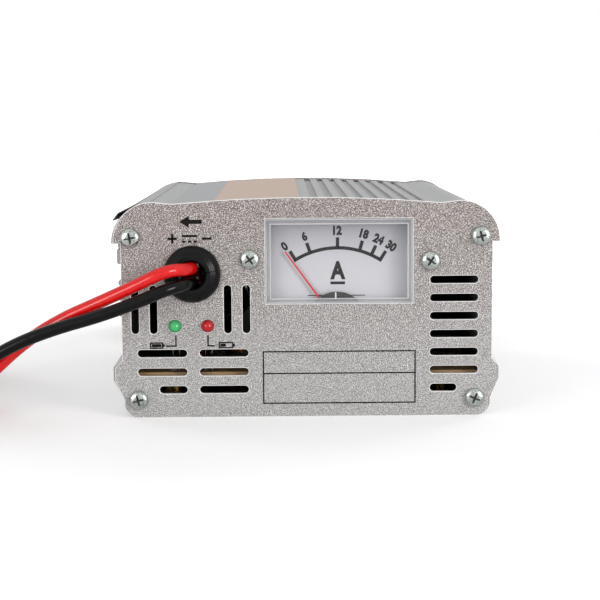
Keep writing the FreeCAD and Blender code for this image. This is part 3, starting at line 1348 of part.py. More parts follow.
def bridge_rectifier(x, y):
    """Upright package with a bevelled corner and four legs."""
    wide, thick, high = RECTIFIER_SIZE
    hole_r, hole_z = RECTIFIER_HOLE
    leg_w, leg_t, spacing = RECTIFIER_LEG
    z0 = BOARD_TOP + RECTIFIER_LIFT
    left = x - wide / 2
    outline = [V(left, y, z0), V(left + wide, y, z0), V(left + wide, y, z0 + high),
               V(left + RECTIFIER_BEVEL, y, z0 + high), V(left, y, z0 + high - RECTIFIER_BEVEL)]
    body = Part.Face(Part.makePolygon(outline + outline[:1])).extrude(V(0, thick, 0))
    body = body.cut(rod(x, y, z0 + hole_z, hole_r, thick, AY))
    legs = []
    for number in (-1.5, -0.5, 0.5, 1.5):
        x0 = x + number * spacing - leg_w / 2
        y0 = y + (thick - leg_t) / 2
        legs.append(box(x0, x0 + leg_w, y0, y0 + leg_t, BOARD_TOP, z0 + leg_w))
    return joined([body] + legs)


def fuse_parts(x, y):
    """Glass tube with end caps, and the two clips that hold it."""
    z = BOARD_TOP + FUSE_R + FUSE_LIFT
    half = FUSE_LENGTH / 2
    glass = rod(x - half + FUSE_CAP, y, z, FUSE_R - SEAT_GAP, FUSE_LENGTH - 2 * FUSE_CAP, AX)
    caps = [rod(x - half, y, z, FUSE_R, FUSE_CAP, AX), rod(x + half - FUSE_CAP, y, z, FUSE_R, FUSE_CAP, AX)]
    clips = []
    for side in (-1, 1):
        x0 = x + side * (half - FUSE_CAP / 2) - CLIP_T / 2
        wide = FUSE_R + CLIP_WALL
        block = box(x0, x0 + CLIP_T, y - wide, y + wide, BOARD_TOP, z + FUSE_R * 0.6)
        mouth = box(x0, x0 + CLIP_T, y - FUSE_R * 0.8, y + FUSE_R * 0.8, z, z + FUSE_R)
        clips.append(block.cut([rod(x0, y, z, FUSE_R, CLIP_T, AX), mouth]))
    return joined([glass] + caps), clips


def inner_lead(x, z, y_from, y_to, radius):
    """Wire from a grommet straight in and down to the board."""
    route = [V(x, y_from, z), V(x, y_to, z), V(x, y_to, BOARD_TOP)]
    edges, radii = rounded_route(route)
    print("  radii of an inner wire", radii)
    return tube(edges, radius)


choke_core, choke_winding = choke(CHOKE_PLACE[0], board_y[0] + CHOKE_PLACE[1])
fuse, fuse_clips = fuse_parts(FUSE_PLACE[0], board_y[1] - FUSE_PLACE[1])
can_x, can_y, can_r, can_h = MAIN_CAN
cans = [capacitor(can_x, board_y[0] + can_y, can_r, can_h)]
cans += [capacitor(x, board_y[1] - y, *REAR_CAN_SIZE) for x, y in REAR_CANS]
transistors_y = (sink_y[0] + TRANSISTOR_INSETS[0], sink_y[1] - TRANSISTOR_INSETS[1])
save("circuit_board", circuit_board())
save("board_standoffs", group(standoffs()))
save("board_screws", group(board_screws()))
save("transformer_core", transformer_core())
save("transformer_winding", transformer_winding())
save("capacitors", group(cans))
save("choke_core", choke_core)
save("choke_winding", choke_winding)
save("heat_sinks", group([heat_sink(side) for side in (-1, 1)]))
save("power_transistors", group([power_transistor(side, y) for side in (-1, 1) for y in transistors_y]))
save("bridge_rectifier", bridge_rectifier(RECTIFIER_X, meter_back + RECTIFIER_GAP))
save("fuse", fuse)
save("fuse_clips", group(fuse_clips))
wires = [inner_lead(output_x, z, FRONT_INNER, FRONT_INNER + run, LEAD_R)
         for z, run in zip((output_z + pair, output_z - pair), OUTPUT_WIRE_RUNS)]
wires += [inner_lead(input_x + shift, INPUT_Z, BACK_Y, board_y[1] - INPUT_WIRE_INSET, INNER_WIRE_R)
          for shift in (-INNER_WIRE_SHIFT, INNER_WIRE_SHIFT)]
save("inner_leads", group(wires))
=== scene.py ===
# %% [markdown]
# A car battery charger: a silver box with a pointer meter, two output leads with
# spring clamps, and a mains lead behind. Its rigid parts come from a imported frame
# in metres, with the front panel towards -Y and the floor at Z = 0. This lesson
# loads that frame, then dresses it: cords, finishes, printing and fine trim.

# %% Load the frame
import json
import math
import bmesh
import bpy
from mathutils import Matrix, Vector


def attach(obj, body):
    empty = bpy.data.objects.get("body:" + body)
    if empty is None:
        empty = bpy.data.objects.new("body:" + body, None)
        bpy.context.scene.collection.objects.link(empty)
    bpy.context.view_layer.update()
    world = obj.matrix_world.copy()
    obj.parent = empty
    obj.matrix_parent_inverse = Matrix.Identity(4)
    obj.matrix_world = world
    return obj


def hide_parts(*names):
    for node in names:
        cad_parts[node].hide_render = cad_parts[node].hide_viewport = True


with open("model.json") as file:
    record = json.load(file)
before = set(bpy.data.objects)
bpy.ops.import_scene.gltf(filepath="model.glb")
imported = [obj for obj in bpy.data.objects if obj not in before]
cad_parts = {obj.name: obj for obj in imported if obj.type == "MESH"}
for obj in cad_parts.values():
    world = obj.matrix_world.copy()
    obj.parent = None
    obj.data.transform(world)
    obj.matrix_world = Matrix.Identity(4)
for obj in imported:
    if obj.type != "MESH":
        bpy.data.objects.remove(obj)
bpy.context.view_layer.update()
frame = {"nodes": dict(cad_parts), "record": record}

MM = 0.001
nodes = frame["nodes"]

# %% [markdown]
# Three small steps come back all through the lesson. An object has to be linked into
# the scene before it shows. A shape that is built face by face has to be handed over
# as plain data. And what a modifier or a spline makes is only there once Blender has
# evaluated it, so it is then copied into a mesh of its own.


# %% Objects and meshes
def placed(name, data):
    """New object, linked into the scene."""
    made = bpy.data.objects.new(name, data)
    bpy.context.scene.collection.objects.link(made)
    return made


def handed_over(name, mesh):
    """Plain mesh of the faces built so far, all of them shaded smooth."""
    for face in mesh.faces:
        face.smooth = True
    data = bpy.data.meshes.new(name)
    mesh.to_mesh(data)
    mesh.free()
    return data


def evaluated_mesh(made):
    """Mesh of an object as its modifiers or its spline leave it."""
    depsgraph = bpy.context.evaluated_depsgraph_get()
    return bpy.data.meshes.new_from_object(made.evaluated_get(depsgraph))


print("frame solids", len(nodes))

# %% [markdown]
# The camera stands where the photographer stood: in front, a touch to the left and
# a little above the case, so the roof shows as a narrow strip. The distance sets
# how much the roof's edges run together towards the back. It was worked out from
# them, and the long lens then gives the panel its width in the picture.

# %% Camera
HALF_LENGTH = 90.0
AIM = Vector((-2.3 * MM, -HALF_LENGTH * MM, 45 * MM))
STAND_OFF = 590 * MM
LOOK_DOWN = math.radians(6.8)
LOOK_RIGHT = math.radians(0.7)
ROLL = math.radians(-0.35)
FOCAL_LENGTH = 93.9
CLOSEST_SEEN = 0.01

camera_data = bpy.data.cameras.new("camera")
camera_data.lens = FOCAL_LENGTH
camera_data.clip_start = CLOSEST_SEEN
camera = placed("camera", camera_data)
camera.location = AIM + STAND_OFF * Vector((-math.tan(LOOK_RIGHT), -1.0, math.tan(LOOK_DOWN)))
turn = Matrix.Rotation(-LOOK_RIGHT, 3, "Z") @ Matrix.Rotation(math.pi / 2 - LOOK_DOWN, 3, "X")
camera.rotation_euler = (turn @ Matrix.Rotation(ROLL, 3, "Z")).to_euler()
bpy.context.scene.camera = camera
print("camera", [round(c, 3) for c in camera.location])

# %% [markdown]
# Colours are written as they should look on a screen. Shaders work in linear
# light, so every written colour is converted once, here. The other helpers make a
# node with its values, link two nodes, and fill sockets. What can be linked is always
# given as a pair: a node and the name or number of its output.


# %% Colours, nodes and links
def colour(code):
    """Linear colour of a written six-figure code."""
    parts = [int(code[i:i + 2], 16) / 255 for i in (0, 2, 4)]
    linear = [p / 12.92 if p <= 0.04045 else ((p + 0.055) / 1.055) ** 2.4 for p in parts]
    return (*linear, 1.0)


def add(tree, kind, values=(), **settings):
    """New node with its settings and socket values; a short kind is a shader node's."""
    made = tree.nodes.new(kind if "Node" in kind else "ShaderNode" + kind)
    for key, value in settings.items():
        setattr(made, key, value)
    for socket, value in dict(values).items():
        made.inputs[socket].default_value = value
    return made


def wire(tree, source, target):
    """Link two (node, socket) pairs."""
    tree.links.new(source[0].outputs[source[1]], target[0].inputs[target[1]])


def put(tree, made, socket, value):
    """Fill a socket: a pair is linked, a text is a written colour, a number is set."""
    if isinstance(value, tuple):
        wire(tree, value, (made, socket))
    else:
        made.inputs[socket].default_value = colour(value) if isinstance(value, str) else value


def feed(tree, made, **values):
    """Fill the sockets that the keywords name, with underscores for their spaces."""
    for key, value in values.items():
        put(tree, made, key.replace("_", " "), value)


def new_finish(name, **values):
    """Material with its tree and its surface shader, whose sockets get the values."""
    finish = bpy.data.materials.new(name)
    finish.use_nodes = True
    shader = finish.node_tree.nodes["Principled BSDF"]
    feed(finish.node_tree, shader, **values)
    return finish, finish.node_tree, shader


print("middle grey in linear light", round(colour("808080")[0], 3))

# %% [markdown]
# No real surface is one flat colour. A noise with the surface's own grain, given in
# millimetres, moves the colour between two written shades, moves the roughness a
# little, and raises a faint bump. These helpers make the noise, carry a value into
# another range, turn it into colours, and mix or reckon with what comes out. Each
# returns a pair that can be linked on. A noise seldom leaves the range of 0.3 to 0.7.

# %% Noises, ranges and ramps
NOISE_LOW = 0.3
NOISE_HIGH = 0.7


def grain_noise(tree, grain, detail=2.0, stretch=(1, 1, 1)):
    """Noise on the piece's own coordinates; the grain is in millimetres."""
    scaled = add(tree, "Mapping", {"Scale": stretch})
    noise = add(tree, "TexNoise", {"Scale": 1 / (grain * MM), "Detail": detail})
    wire(tree, (add(tree, "TexCoord"), "Object"), (scaled, "Vector"))
    wire(tree, (scaled, 0), (noise, "Vector"))
    return noise, 0


def along(tree, axis):
    """One of the piece's own coordinates."""
    split = add(tree, "SeparateXYZ")
    wire(tree, (add(tree, "TexCoord"), "Object"), (split, 0))
    return split, axis


def spread(tree, source, low, high, start=NOISE_LOW, end=NOISE_HIGH):
    """Value carried from the range of start and end to that of low and high."""
    made = add(tree, "MapRange", {"From Min": start, "From Max": end, "To Min": low, "To Max": high})
    wire(tree, source, (made, "Value"))
    return made, 0


def ramp(tree, source, stops, stepped=False):
    """Colours along a value, as (position, colour) stops, or with a cover as third."""
    made = add(tree, "ValToRGB")
    elements = made.color_ramp.elements
    while len(elements) < len(stops):
        elements.new(1.0)
    for element, (position, code, *cover) in zip(elements, stops):
        element.position = position
        element.color = (*colour(code)[:3], *(cover or [1.0]))
    if stepped:
        made.color_ramp.interpolation = "CONSTANT"
    wire(tree, source, (made, "Fac"))
    return made, "Color"


def shades(tree, noise, dark, light):
    """Two written shades with the noise's grain."""
    return ramp(tree, noise, [(NOISE_LOW, dark), (NOISE_HIGH, light)])


def blended(tree, share, first, second, kind="MIX"):
    """Mix of two colours; the share and the colours are values or pairs."""
    made = add(tree, "Mix", data_type="RGBA", blend_type=kind)
    for socket, value in ((0, share), (6, first), (7, second)):
        put(tree, made, socket, value)
    return made, 2


def reckoned(tree, operation, *terms):
    """Math step on numbers or pairs, one or two of them."""
    made = add(tree, "Math", operation=operation)
    for socket, term in enumerate(terms):
        put(tree, made, socket, term)
    return made, 0


def surface(tree, shader, look, noise, rough, bump=0.0, depth=0.05):
    """Colour, roughness from and to, and a bump whose depth is in millimetres."""
    feed(tree, shader, Base_Color=look, Roughness=spread(tree, noise, *rough))
    if bump:
        raised = add(tree, "Bump", {"Strength": bump, "Distance": depth * MM})
        wire(tree, noise, (raised, "Height"))
        wire(tree, (raised, "Normal"), (shader, "Normal"))


print("a grain of 0.5 mm is a noise scale of", round(1 / (0.5 * MM)))

# %% [markdown]
# A product photograph of this kind stands on white paper that runs up behind it. The
# floor adds a little of its own white where the camera looks at it, more of it
# farther out, so it runs into the background and still takes the shadow.

# %% Floor
GLOW = (0.25, 0.7)
GLOW_WITHIN = (0.2, 0.9)
FLOOR_REACH = 6


def paper_white():
    """Matt white that glows a little for the camera, and more with the distance."""
    finish, tree, shader = new_finish("pale_floor", Base_Color="f2f2f2", Roughness=0.7,
                                      Emission_Color="ffffff")
    reach = add(tree, "VectorMath", operation="LENGTH")
    wire(tree, (add(tree, "TexCoord"), "Object"), (reach, 0))
    glow = spread(tree, (reach, "Value"), *GLOW, *GLOW_WITHIN)
    seen = (add(tree, "LightPath"), "Is Camera Ray")
    feed(tree, shader, Emission_Strength=reckoned(tree, "MULTIPLY", seen, glow))
    return finish


floor_corners = [(x * FLOOR_REACH, y * FLOOR_REACH, 0) for x, y in ((-1, -1), (1, -1), (1, 1), (-1, 1))]
floor_mesh = bpy.data.meshes.new("floor")
floor_mesh.from_pydata(floor_corners, [], [(0, 1, 2, 3)])
floor_mesh.materials.append(paper_white())
placed("floor", floor_mesh)
print("floor reaches", FLOOR_REACH, "m each way")

# %% [markdown]
# The light is soft and comes from all round. The world gives most of it, and broad
# lamps shape the edges: two in front, and two behind for the rear panel. What
# the camera and the glossy surfaces see of the world is plain white.

# %% World and lamps
SKY_LIGHT = 0.62
LAMPS = {
    "key": ((-0.8, -1.25, 0.28), 0.5, 5.8),
    "fill": ((0.9, -1.1, 0.27), 0.5, 9.2),
    "back_left": ((-1.3, 1.1, 0.5), 0.7, 8.0),
    "back_right": ((1.2, 1.2, 0.5), 0.7, 9.0),
}
world = bpy.data.worlds.new("studio")
bpy.context.scene.world = world
world.use_nodes = True
sky = world.node_tree
sky.nodes.clear()
rays = add(sky, "LightPath")
seen_or_mirrored = reckoned(sky, "MAXIMUM", (rays, "Is Camera Ray"), (rays, "Is Glossy Ray"))
plain_white = reckoned(sky, "MAXIMUM", seen_or_mirrored, (rays, "Is Transmission Ray"))
backdrop = add(sky, "Background", {"Color": (1, 1, 1, 1)})
feed(sky, backdrop, Strength=spread(sky, plain_white, SKY_LIGHT, 1.0, 0.0, 1.0))
wire(sky, (backdrop, 0), (add(sky, "OutputWorld"), "Surface"))

for name, (place, size, power) in LAMPS.items():
    lamp_data = bpy.data.lights.new(name, "AREA")
    lamp_data.size = size
    lamp_data.energy = power
    lamp = placed(name, lamp_data)
    lamp.location = place
    lamp.rotation_euler = (AIM - Vector(place)).to_track_quat("-Z", "Y").to_euler()
bpy.context.scene.view_settings.view_transform = "Standard"
print("lamps", len(LAMPS))

# %% [markdown]
# The two output leads are supple rubber cords, 4.8 mm thick. They leave the grommet
# one above the other, bend round to the left, hang a little and drop to the
# floor. What is over is wound in a flat pile, and each lead ends in its clamp.
# A cord is one NURBS spline: its control points are the corners of the route, and
# the spline rounds them as the cord's stiffness would. A coil winds in for half its
# turns, climbs or sinks one layer, and winds out again, so that no turn cuts another.

# %% Coils
TURN_POINTS = 16
SPLINE_ORDER = 3
SPLINE_STEPS = 6
ROUND_SIDES = 6


def coil_point(coil, angle):
    """Point and direction on a coil, after turning through an angle."""
    (x, y, z), start, radius, pitch, turns, climb = coil
    rate = pitch / (2 * math.pi)
    inward = (2 * math.pi * turns - math.pi) / 2
    share = min(max((angle - inward) / math.pi, 0.0), 1.0)
    r = radius - rate * min(angle, inward) - rate * math.pi * share * (1 - share)
    r += rate * max(angle - inward - math.pi, 0.0)
    slope = rate * (2 * share - 1)
    rise = climb * share ** 2 * (3 - 2 * share)
    steep = 6 * climb * share * (1 - share) / math.pi
    a = math.radians(start) - angle
    point = Vector((x + r * math.cos(a), y + r * math.sin(a), z + rise))
    ahead = Vector((slope * math.cos(a) + r * math.sin(a), slope * math.sin(a) - r * math.cos(a), steep))
    return point, ahead.normalized()


def coil_points(coil, lead_in, run):
    """Control points of a straight start and the turns of a coil."""
    turns = coil[4]
    first, entering = coil_point(coil, 0.0)
    begin = first - entering * lead_in
    steps = math.ceil(TURN_POINTS * turns)
    whole = 2 * math.pi * turns
    wound = [coil_point(coil, whole * step / steps)[0] for step in range(steps + 1)]
    return [begin - entering * run, begin] + wound


def spline_curve(name, points, radius):
    """Cord along control points in millimetres."""
    data = bpy.data.curves.new(name, "CURVE")
    data.dimensions = "3D"
    spline = data.splines.new("NURBS")
    spline.points.add(len(points) - 1)
    for control, point in zip(spline.points, points):
        control.co = (point[0] * MM, point[1] * MM, point[2] * MM, 1.0)
    spline.order_u = SPLINE_ORDER
    spline.use_endpoint_u = True
    spline.resolution_u = SPLINE_STEPS
    data.bevel_depth = radius * MM
    data.bevel_resolution = ROUND_SIDES
    data.use_fill_caps = True
    data.twist_mode = "Z_UP"
    return placed(name, data)


print("control points to a turn", TURN_POINTS)

# %% [markdown]
# Each clamp lies flat on its side at the end of its coil, the black one on top of the
# red one and turned a little. Its shape is known in its own frame, so one helper
# carries a point of that frame to its place. The lead runs into the sleeve that
# stands out behind the lower handle.

# %% Output leads
LEAD_R = 2.4
LEAD_X = -43.1
LEAD_Z = {"red": 57.7, "black": 52.7}
PANEL_BACK = 88.4
LEAD_STRAIGHT = (-PANEL_BACK, -99.4)
LAYER = 5.3
PILE = (-151.0, -78.0)
PILE_START = 270.0
PILE_R = 28.0
PILE_PITCH = 5.4
PILE_TURNS = 3.25
COILS = {"red": ((*PILE, 7.9), PILE_START, PILE_R, PILE_PITCH, PILE_TURNS, -LAYER),
         "black": ((*PILE, 13.2), PILE_START, PILE_R, PILE_PITCH, PILE_TURNS, LAYER)}
PILE_RUN = {"red": 15.0, "black": 14.0}
CLAMP_LIFT = {"red": 0.0, "black": 14.3}
CLAMP_TURN = {"red": 91.0, "black": 95.0}
CLAMP_ENTRY = (-178.2, -40.0)
SLEEVE = Vector((-2.0, 18.0, 0.0))
SLEEVE_LEVEL = 7.0
SLEEVE_RUN_UP = 12.5
PILE_RUN_OUT = 11.0
LEAD_ROUTES = {
    "red": [(-51.2, -106.6, 58.4), (-62.6, -105.4, 52.8), (-77.0, -103.4, 46.2), (-92.0, -101.0, 39.6),
            (-106.5, -100.4, 30.4), (-119.5, -101.8, 18.2)],
    "black": [(-51.0, -107.2, 51.6), (-62.8, -107.2, 46.4), (-77.5, -107.0, 41.2), (-92.3, -107.0, 37.2),
              (-107.0, -107.2, 31.8), (-120.5, -107.4, 24.2)],
}


def clamp_point(side, x, y, z):
    """Point of a clamp's own frame in the charger's frame, in millimetres."""
    turned = Matrix.Rotation(math.radians(CLAMP_TURN[side]), 3, "Z")
    return Vector((*CLAMP_ENTRY, CLAMP_LIFT[side])) + turned @ (Vector((x, y, z)) - SLEEVE)


def output_lead(side):
    """Spline of a whole output lead, from behind the panel into its clamp's sleeve."""
    points = [(LEAD_X, y, LEAD_Z[side]) for y in LEAD_STRAIGHT] + LEAD_ROUTES[side]
    points += coil_points(COILS[side], 2 * LEAD_R, PILE_RUN[side])
    last, leaving = coil_point(COILS[side], 2 * math.pi * PILE_TURNS)
    points += [last + leaving * PILE_RUN_OUT,
               clamp_point(side, SLEEVE.x - SLEEVE_RUN_UP, SLEEVE.y, SLEEVE_LEVEL),
               clamp_point(side, SLEEVE.x, SLEEVE.y, SLEEVE_LEVEL)]
    print(side, "lead, control points", len(points))
    return spline_curve(side + "_cord", points, LEAD_R)


leads = {side: output_lead(side) for side in ("red", "black")}

# %% [markdown]
# Behind each grommet the same conductors go on, down to the board. They are short
# cords of their own, with one corner each. The thin mains wires have a control point
# just before theirs, so that they come down on the board without a kink.

# %% Leads inside the case
INNER_R = 1.4
MAINS_Z = 22.8
BOARD_Z = 16.6
MAINS_WIRE_RUN = (PANEL_BACK, 75.0, 58.5, 57.0)


def inner_route(x, z, run):
    """Level points at each Y of the run, the last one down on the board."""
    return [(x, y, z) for y in run[:-1]] + [(x, run[-1], BOARD_Z)]


inner_routes = {
    "inner_red": (inner_route(LEAD_X, LEAD_Z["red"], (-PANEL_BACK, -64.4, -64.4)), LEAD_R, 0.057),
    "inner_black": (inner_route(LEAD_X, LEAD_Z["black"], (-PANEL_BACK, -73.4, -73.4)), LEAD_R, 0.0455),
    "inner_live": (inner_route(-49.1, MAINS_Z, MAINS_WIRE_RUN), INNER_R, 0.0354),
    "inner_neutral": (inner_route(-45.9, MAINS_Z, MAINS_WIRE_RUN), INNER_R, 0.0354),
}
inner_cords = {name: spline_curve(name, points, radius) for name, (points, radius, _) in inner_routes.items()}
print("inner leads", len(inner_cords))

# %% [markdown]
# The mains lead is a flat twin flex: two cores side by side under one sheath. It
# is wider than thick and stands on its edge, as flat flex does when it is bent
# sideways. A drawn outline swept along the spline gives it that section, with
# the shallow valley between its cores.

# %% Flat flex
MAINS_H = 8.8
MAINS_W = 5.4
FLEX_SIDES = 28
VALLEY = 0.16
VALLEY_REACH = 0.3


def flex_section():
    """Closed outline of the flat flex, standing upright, as (side, up) pairs."""
    core = MAINS_W / 2
    shift = MAINS_H / 2 - core
    outline = []
    for number in range(FLEX_SIDES):
        a = 2 * math.pi * (number + 0.5) / FLEX_SIDES
        up = core * math.sin(a) + math.copysign(shift, math.sin(a))
        pinch = 1 - VALLEY * math.exp(-(up / (VALLEY_REACH * core)) ** 2)
        outline.append((core * math.cos(a) * pinch, up))
    return outline


def swept(name, path, outline):
    """Closed mesh of an upright outline carried along a path."""
    mesh = bmesh.new()
    rings = []
    for number, here in enumerate(path):
        ahead = (path[min(number + 1, len(path) - 1)] - path[max(number - 1, 0)]).normalized()
        side = ahead.cross(Vector((0, 0, 1))).normalized()
        up = side.cross(ahead)
        rings.append([mesh.verts.new(here + (side * x + up * y) * MM) for x, y in outline])
    count = len(outline)
    for lower, upper in zip(rings, rings[1:]):
        for k in range(count):
            following = (k + 1) % count
            mesh.faces.new((lower[k], lower[following], upper[following], upper[k]))
    mesh.faces.new(rings[0])
    mesh.faces.new(rings[-1])
    bmesh.ops.recalc_face_normals(mesh, faces=mesh.faces)
    return placed(name, handed_over(name, mesh))


print("flex", MAINS_H, "by", MAINS_W, "mm")

# %% [markdown]
# The flex comes out of the rear grommet, swings round to the floor and lies in a wide
# flat coil behind the case, with its plug at the end. Its length outside the case is
# a usual one, and the coil takes up what the route leaves over.

# %% Mains lead
MAINS_X = -47.5
MAINS_TURNS = 4 + 215 / 360
MAINS_COIL = ((22.5, 146.0, 4.7), 90.0, 46.0, 7.8, MAINS_TURNS, 9.6)
MAINS_LEAD_IN = 7.2
MAINS_RUN = 23.0
MAINS_RUN_OUT = 12.0
PLUG_ASIDE = (-29.5, 20.4)
PLUG_LEVEL = 8.6
PLUG_ENTRY_SPAN = (-8.0, 6.0)
MAINS_ROUTE = [(MAINS_X, PANEL_BACK, MAINS_Z), (MAINS_X, 101.5, MAINS_Z), (-56.5, 110.4, 22.0),
               (-72.5, 112.8, 20.6), (-84.0, 121.5, 18.8), (-91.4, 136.8, 16.0), (-92.0, 154.8, 12.8),
               (-86.5, 171.6, 9.6), (-75.0, 184.2, 7.0), (-56.4, 190.8, 5.3), (-34.5, 193.2, 4.8)]
mains_end, mains_leaving = coil_point(MAINS_COIL, 2 * math.pi * MAINS_TURNS)
plug_turn = Matrix.Rotation(math.atan2(mains_leaving.y, mains_leaving.x), 3, "Z")
plug_entry = Vector((mains_end.x + PLUG_ASIDE[0], mains_end.y + PLUG_ASIDE[1], PLUG_LEVEL))
mains_points = MAINS_ROUTE + coil_points(MAINS_COIL, MAINS_LEAD_IN, MAINS_RUN)
mains_points.append(mains_end + mains_leaving * MAINS_RUN_OUT)
mains_points += [plug_entry + plug_turn @ Vector((ahead, 0.0, 0.0)) for ahead in PLUG_ENTRY_SPAN]
mains_line = spline_curve("mains_line", mains_points, 0.0)
line_mesh = evaluated_mesh(mains_line)
mains_path = [vertex.co.copy() for vertex in line_mesh.vertices]
bpy.data.meshes.remove(line_mesh)
bpy.data.objects.remove(mains_line)
mains_cord = swept("mains_cord", mains_path, flex_section())
print("mains control points", len(mains_points), "path points", len(mains_path))

# %% [markdown]
# Most finishes share one make-up: the noise moves the shade and the roughness and
# raises the bump. Drawn metal has the noise stretched along its length. Each row below
# is one finish: dark and light shade, grain in millimetres, roughness from and to,
# metal, bump, the direction the grain is drawn out in, and how much it shines.

# %% Finishes that share one make-up
LENGTHWISE = (1, 0.02, 1)
EVEN = (1, 1, 1)


def worn_finish(name, dark, light, grain, rough, metal=0.0, bump=0.0, stretch=EVEN, shine=0.5):
    """Finish whose colour and roughness wander over a grain given in millimetres."""
    finish, tree, shader = new_finish(name, Metallic=metal, Specular_IOR_Level=shine)
    noise = grain_noise(tree, grain, 3.0, stretch)
    surface(tree, shader, shades(tree, noise, dark, light), noise, rough, bump)
    return finish


SHARED = {
    "shell_metal": ("989999", "adadae", 0.5, (0.48, 0.62), 0.35, 0.25, LENGTHWISE, 0.2),
    "copper_sheet": ("8a6c60", "9c8074", 1.5, (0.45, 0.6), 0.2, 0.1, LENGTHWISE, 0.3),
    "black_nylon": ("040404", "090909", 0.6, (0.24, 0.34), 0.0, 0.10, EVEN, 0.18),
    "white_paper": ("dedddb", "ececea", 0.4, (0.55, 0.7), 0.0, 0.15),
    "black_plastic": ("131314", "1f1f21", 0.8, (0.34, 0.46), 0.0, 0.2),
    "magnet_steel": ("6f7073", "8e8f92", 0.5, (0.3, 0.5), 1.0, 0.2),
    "steel": ("a2a3a6", "c2c3c6", 0.3, (0.18, 0.32), 1.0, 0.2),
    "bronze": ("8e663a", "b08450", 0.4, (0.3, 0.45), 1.0, 0.2),
    "copper": ("93552c", "c07c4a", 0.3, (0.25, 0.4), 1.0, 0.3),
    "red_rubber": ("c80a0c", "d81414", 2.5, (0.13, 0.20), 0.0, 0.05, EVEN, 0.4),
    "black_rubber": ("040404", "0a0a0b", 2.5, (0.13, 0.20), 0.0, 0.05, EVEN, 0.18),
    "brass": ("b8924a", "d4b26c", 0.6, (0.18, 0.3), 1.0, 0.2, LENGTHWISE),
    "tan_board": ("9a7b56", "ae9069", 0.7, (0.45, 0.6), 0.0, 0.2, (0.15, 1, 1)),
    "ferrite": ("3a3a3c", "525254", 0.4, (0.5, 0.7), 0.1, 0.3),
    "yellow_tape": ("c9ac2c", "ddc448", 1.0, (0.25, 0.4), 0.0, 0.1, (1, 1, 0.1)),
    "can_sleeve": ("1d2833", "28343f", 0.8, (0.2, 0.32), 0.0, 0.1),
    "black_anodised": ("1c1c1e", "2c2c2f", 0.4, (0.35, 0.5), 0.6, 0.2, LENGTHWISE),
    "fuse_glass": ("b4c2be", "d4deda", 0.8, (0.08, 0.16)),
    "copper_plated": ("a2643c", "c98c64", 0.6, (0.22, 0.36), 1.0, 0.2),
    "red_needle": ("c01422", "d02430", 0.6, (0.3, 0.42), 0.0, 0.0, EVEN, 0.2),
    "black_ink": ("0c0b0b", "171514", 0.5, (0.5, 0.65), 0.0, 0.1, EVEN, 0.1),
    "bare_edge": ("dcdcdb", "eeeeed", 0.25, (0.3, 0.45), 0.0, 0.2),
}
finishes = {name: worn_finish(name, *values) for name, values in SHARED.items()}
print("shared finishes", len(finishes))

# %% [markdown]
# The screws are zinc plated: bright, a little grey-green, and streaked. The cross
# recess is painted dark, a painted shade for the shadow that fills it. How deep a point
# lies in the recess is stored on the screw's mesh as an attribute, and the finish turns
# dark and dull with it. Where a piece has no such attribute it reads as nothing,
# so the same finish does for the screws under the board.

# %% Zinc
DEEP_ENOUGH = 0.8


def zinc_finish():
    """Bright plating, with painted shade in the recess, where it is dull too."""
    finish, tree, shader = new_finish("zinc", Specular_IOR_Level=0.5)
    noise = grain_noise(tree, 0.6, 3.0)
    recess = (add(tree, "Attribute", attribute_name="recess", attribute_type="GEOMETRY"), "Fac")
    # Painted shade: the recess turns dark towards its bottom, for the shadow inside it.
    painted_recess_shade = spread(tree, recess, 0.0, 0.92, 0.0, DEEP_ENOUGH)
    look = blended(tree, painted_recess_shade, shades(tree, noise, "8f9591", "ccd2ce"), "262724")
    feed(tree, shader, Metallic=spread(tree, recess, 1.0, 0.3, 0.0, DEEP_ENOUGH))
    surface(tree, shader, look, noise, (0.14, 0.28), 0.3)
    return finish


finishes["zinc"] = zinc_finish()
print("zinc is darkest from", DEEP_ENOUGH, "of the recess's depth on")

# %% [markdown]
# The sheet wrapped over the left shoulder is printed too: dark grey down the side,
# and from the top of the shoulder on the light grey of the roof. The change follows
# the height alone, so it is a narrow range of Z.

# %% Shoulder sheet
SHEET_CHANGE = (81.0 * MM, 81.5 * MM)


def shoulder_finish():
    """Dark side and light top, parted at a height."""
    finish, tree, shader = new_finish("black_sheet", Specular_IOR_Level=0.25)
    noise = grain_noise(tree, 1.2, 3.0, (1, 0.2, 1))
    high_up = spread(tree, along(tree, "Z"), 0.0, 1.0, *SHEET_CHANGE)
    dark_side = shades(tree, noise, "423f3f", "504d4d")
    light_top = shades(tree, noise, "a0a0a2", "a8a8aa")
    look = blended(tree, high_up, dark_side, light_top)
    surface(tree, shader, look, noise, (0.45, 0.6), 0.15)
    return finish


finishes["black_sheet"] = shoulder_finish()
print("shoulder sheet changes at", SHEET_CHANGE)

# %% [markdown]
# The end panels are sprayed with a coarse silver paint: dark and bright flakes, each
# a fraction of a millimetre wide, over grey. Towards the top the flakes stand out more,
# which is the paint's own, and the grey is a little browner and darker, which is painted
# shade for the dimmer light on the panel's top. Two noises do it. The fine one is the
# flakes, pushed to dark and bright by one steep ramp for the bottom and a steeper,
# darker one for the top that carries the painted shade.
# The wider one warms the grey in patches. The same fine noise makes the flakes stand
# proud, which gives the sparkle when the light moves.

# %% Silver paint
FLAKE = 0.38
PATCH = 1.3
PAINT_HEIGHTS = (15 * MM, 75 * MM)
SHADED_TOP_FLAKES = ((0.28, "2b2623"), (0.44, "6b6461"), (0.56, "9d9694"), (0.72, "f0edeb"))
BOTTOM_FLAKES = ((0.28, "676564"), (0.44, "949291"), (0.56, "abaaa9"), (0.72, "dcdbda"))


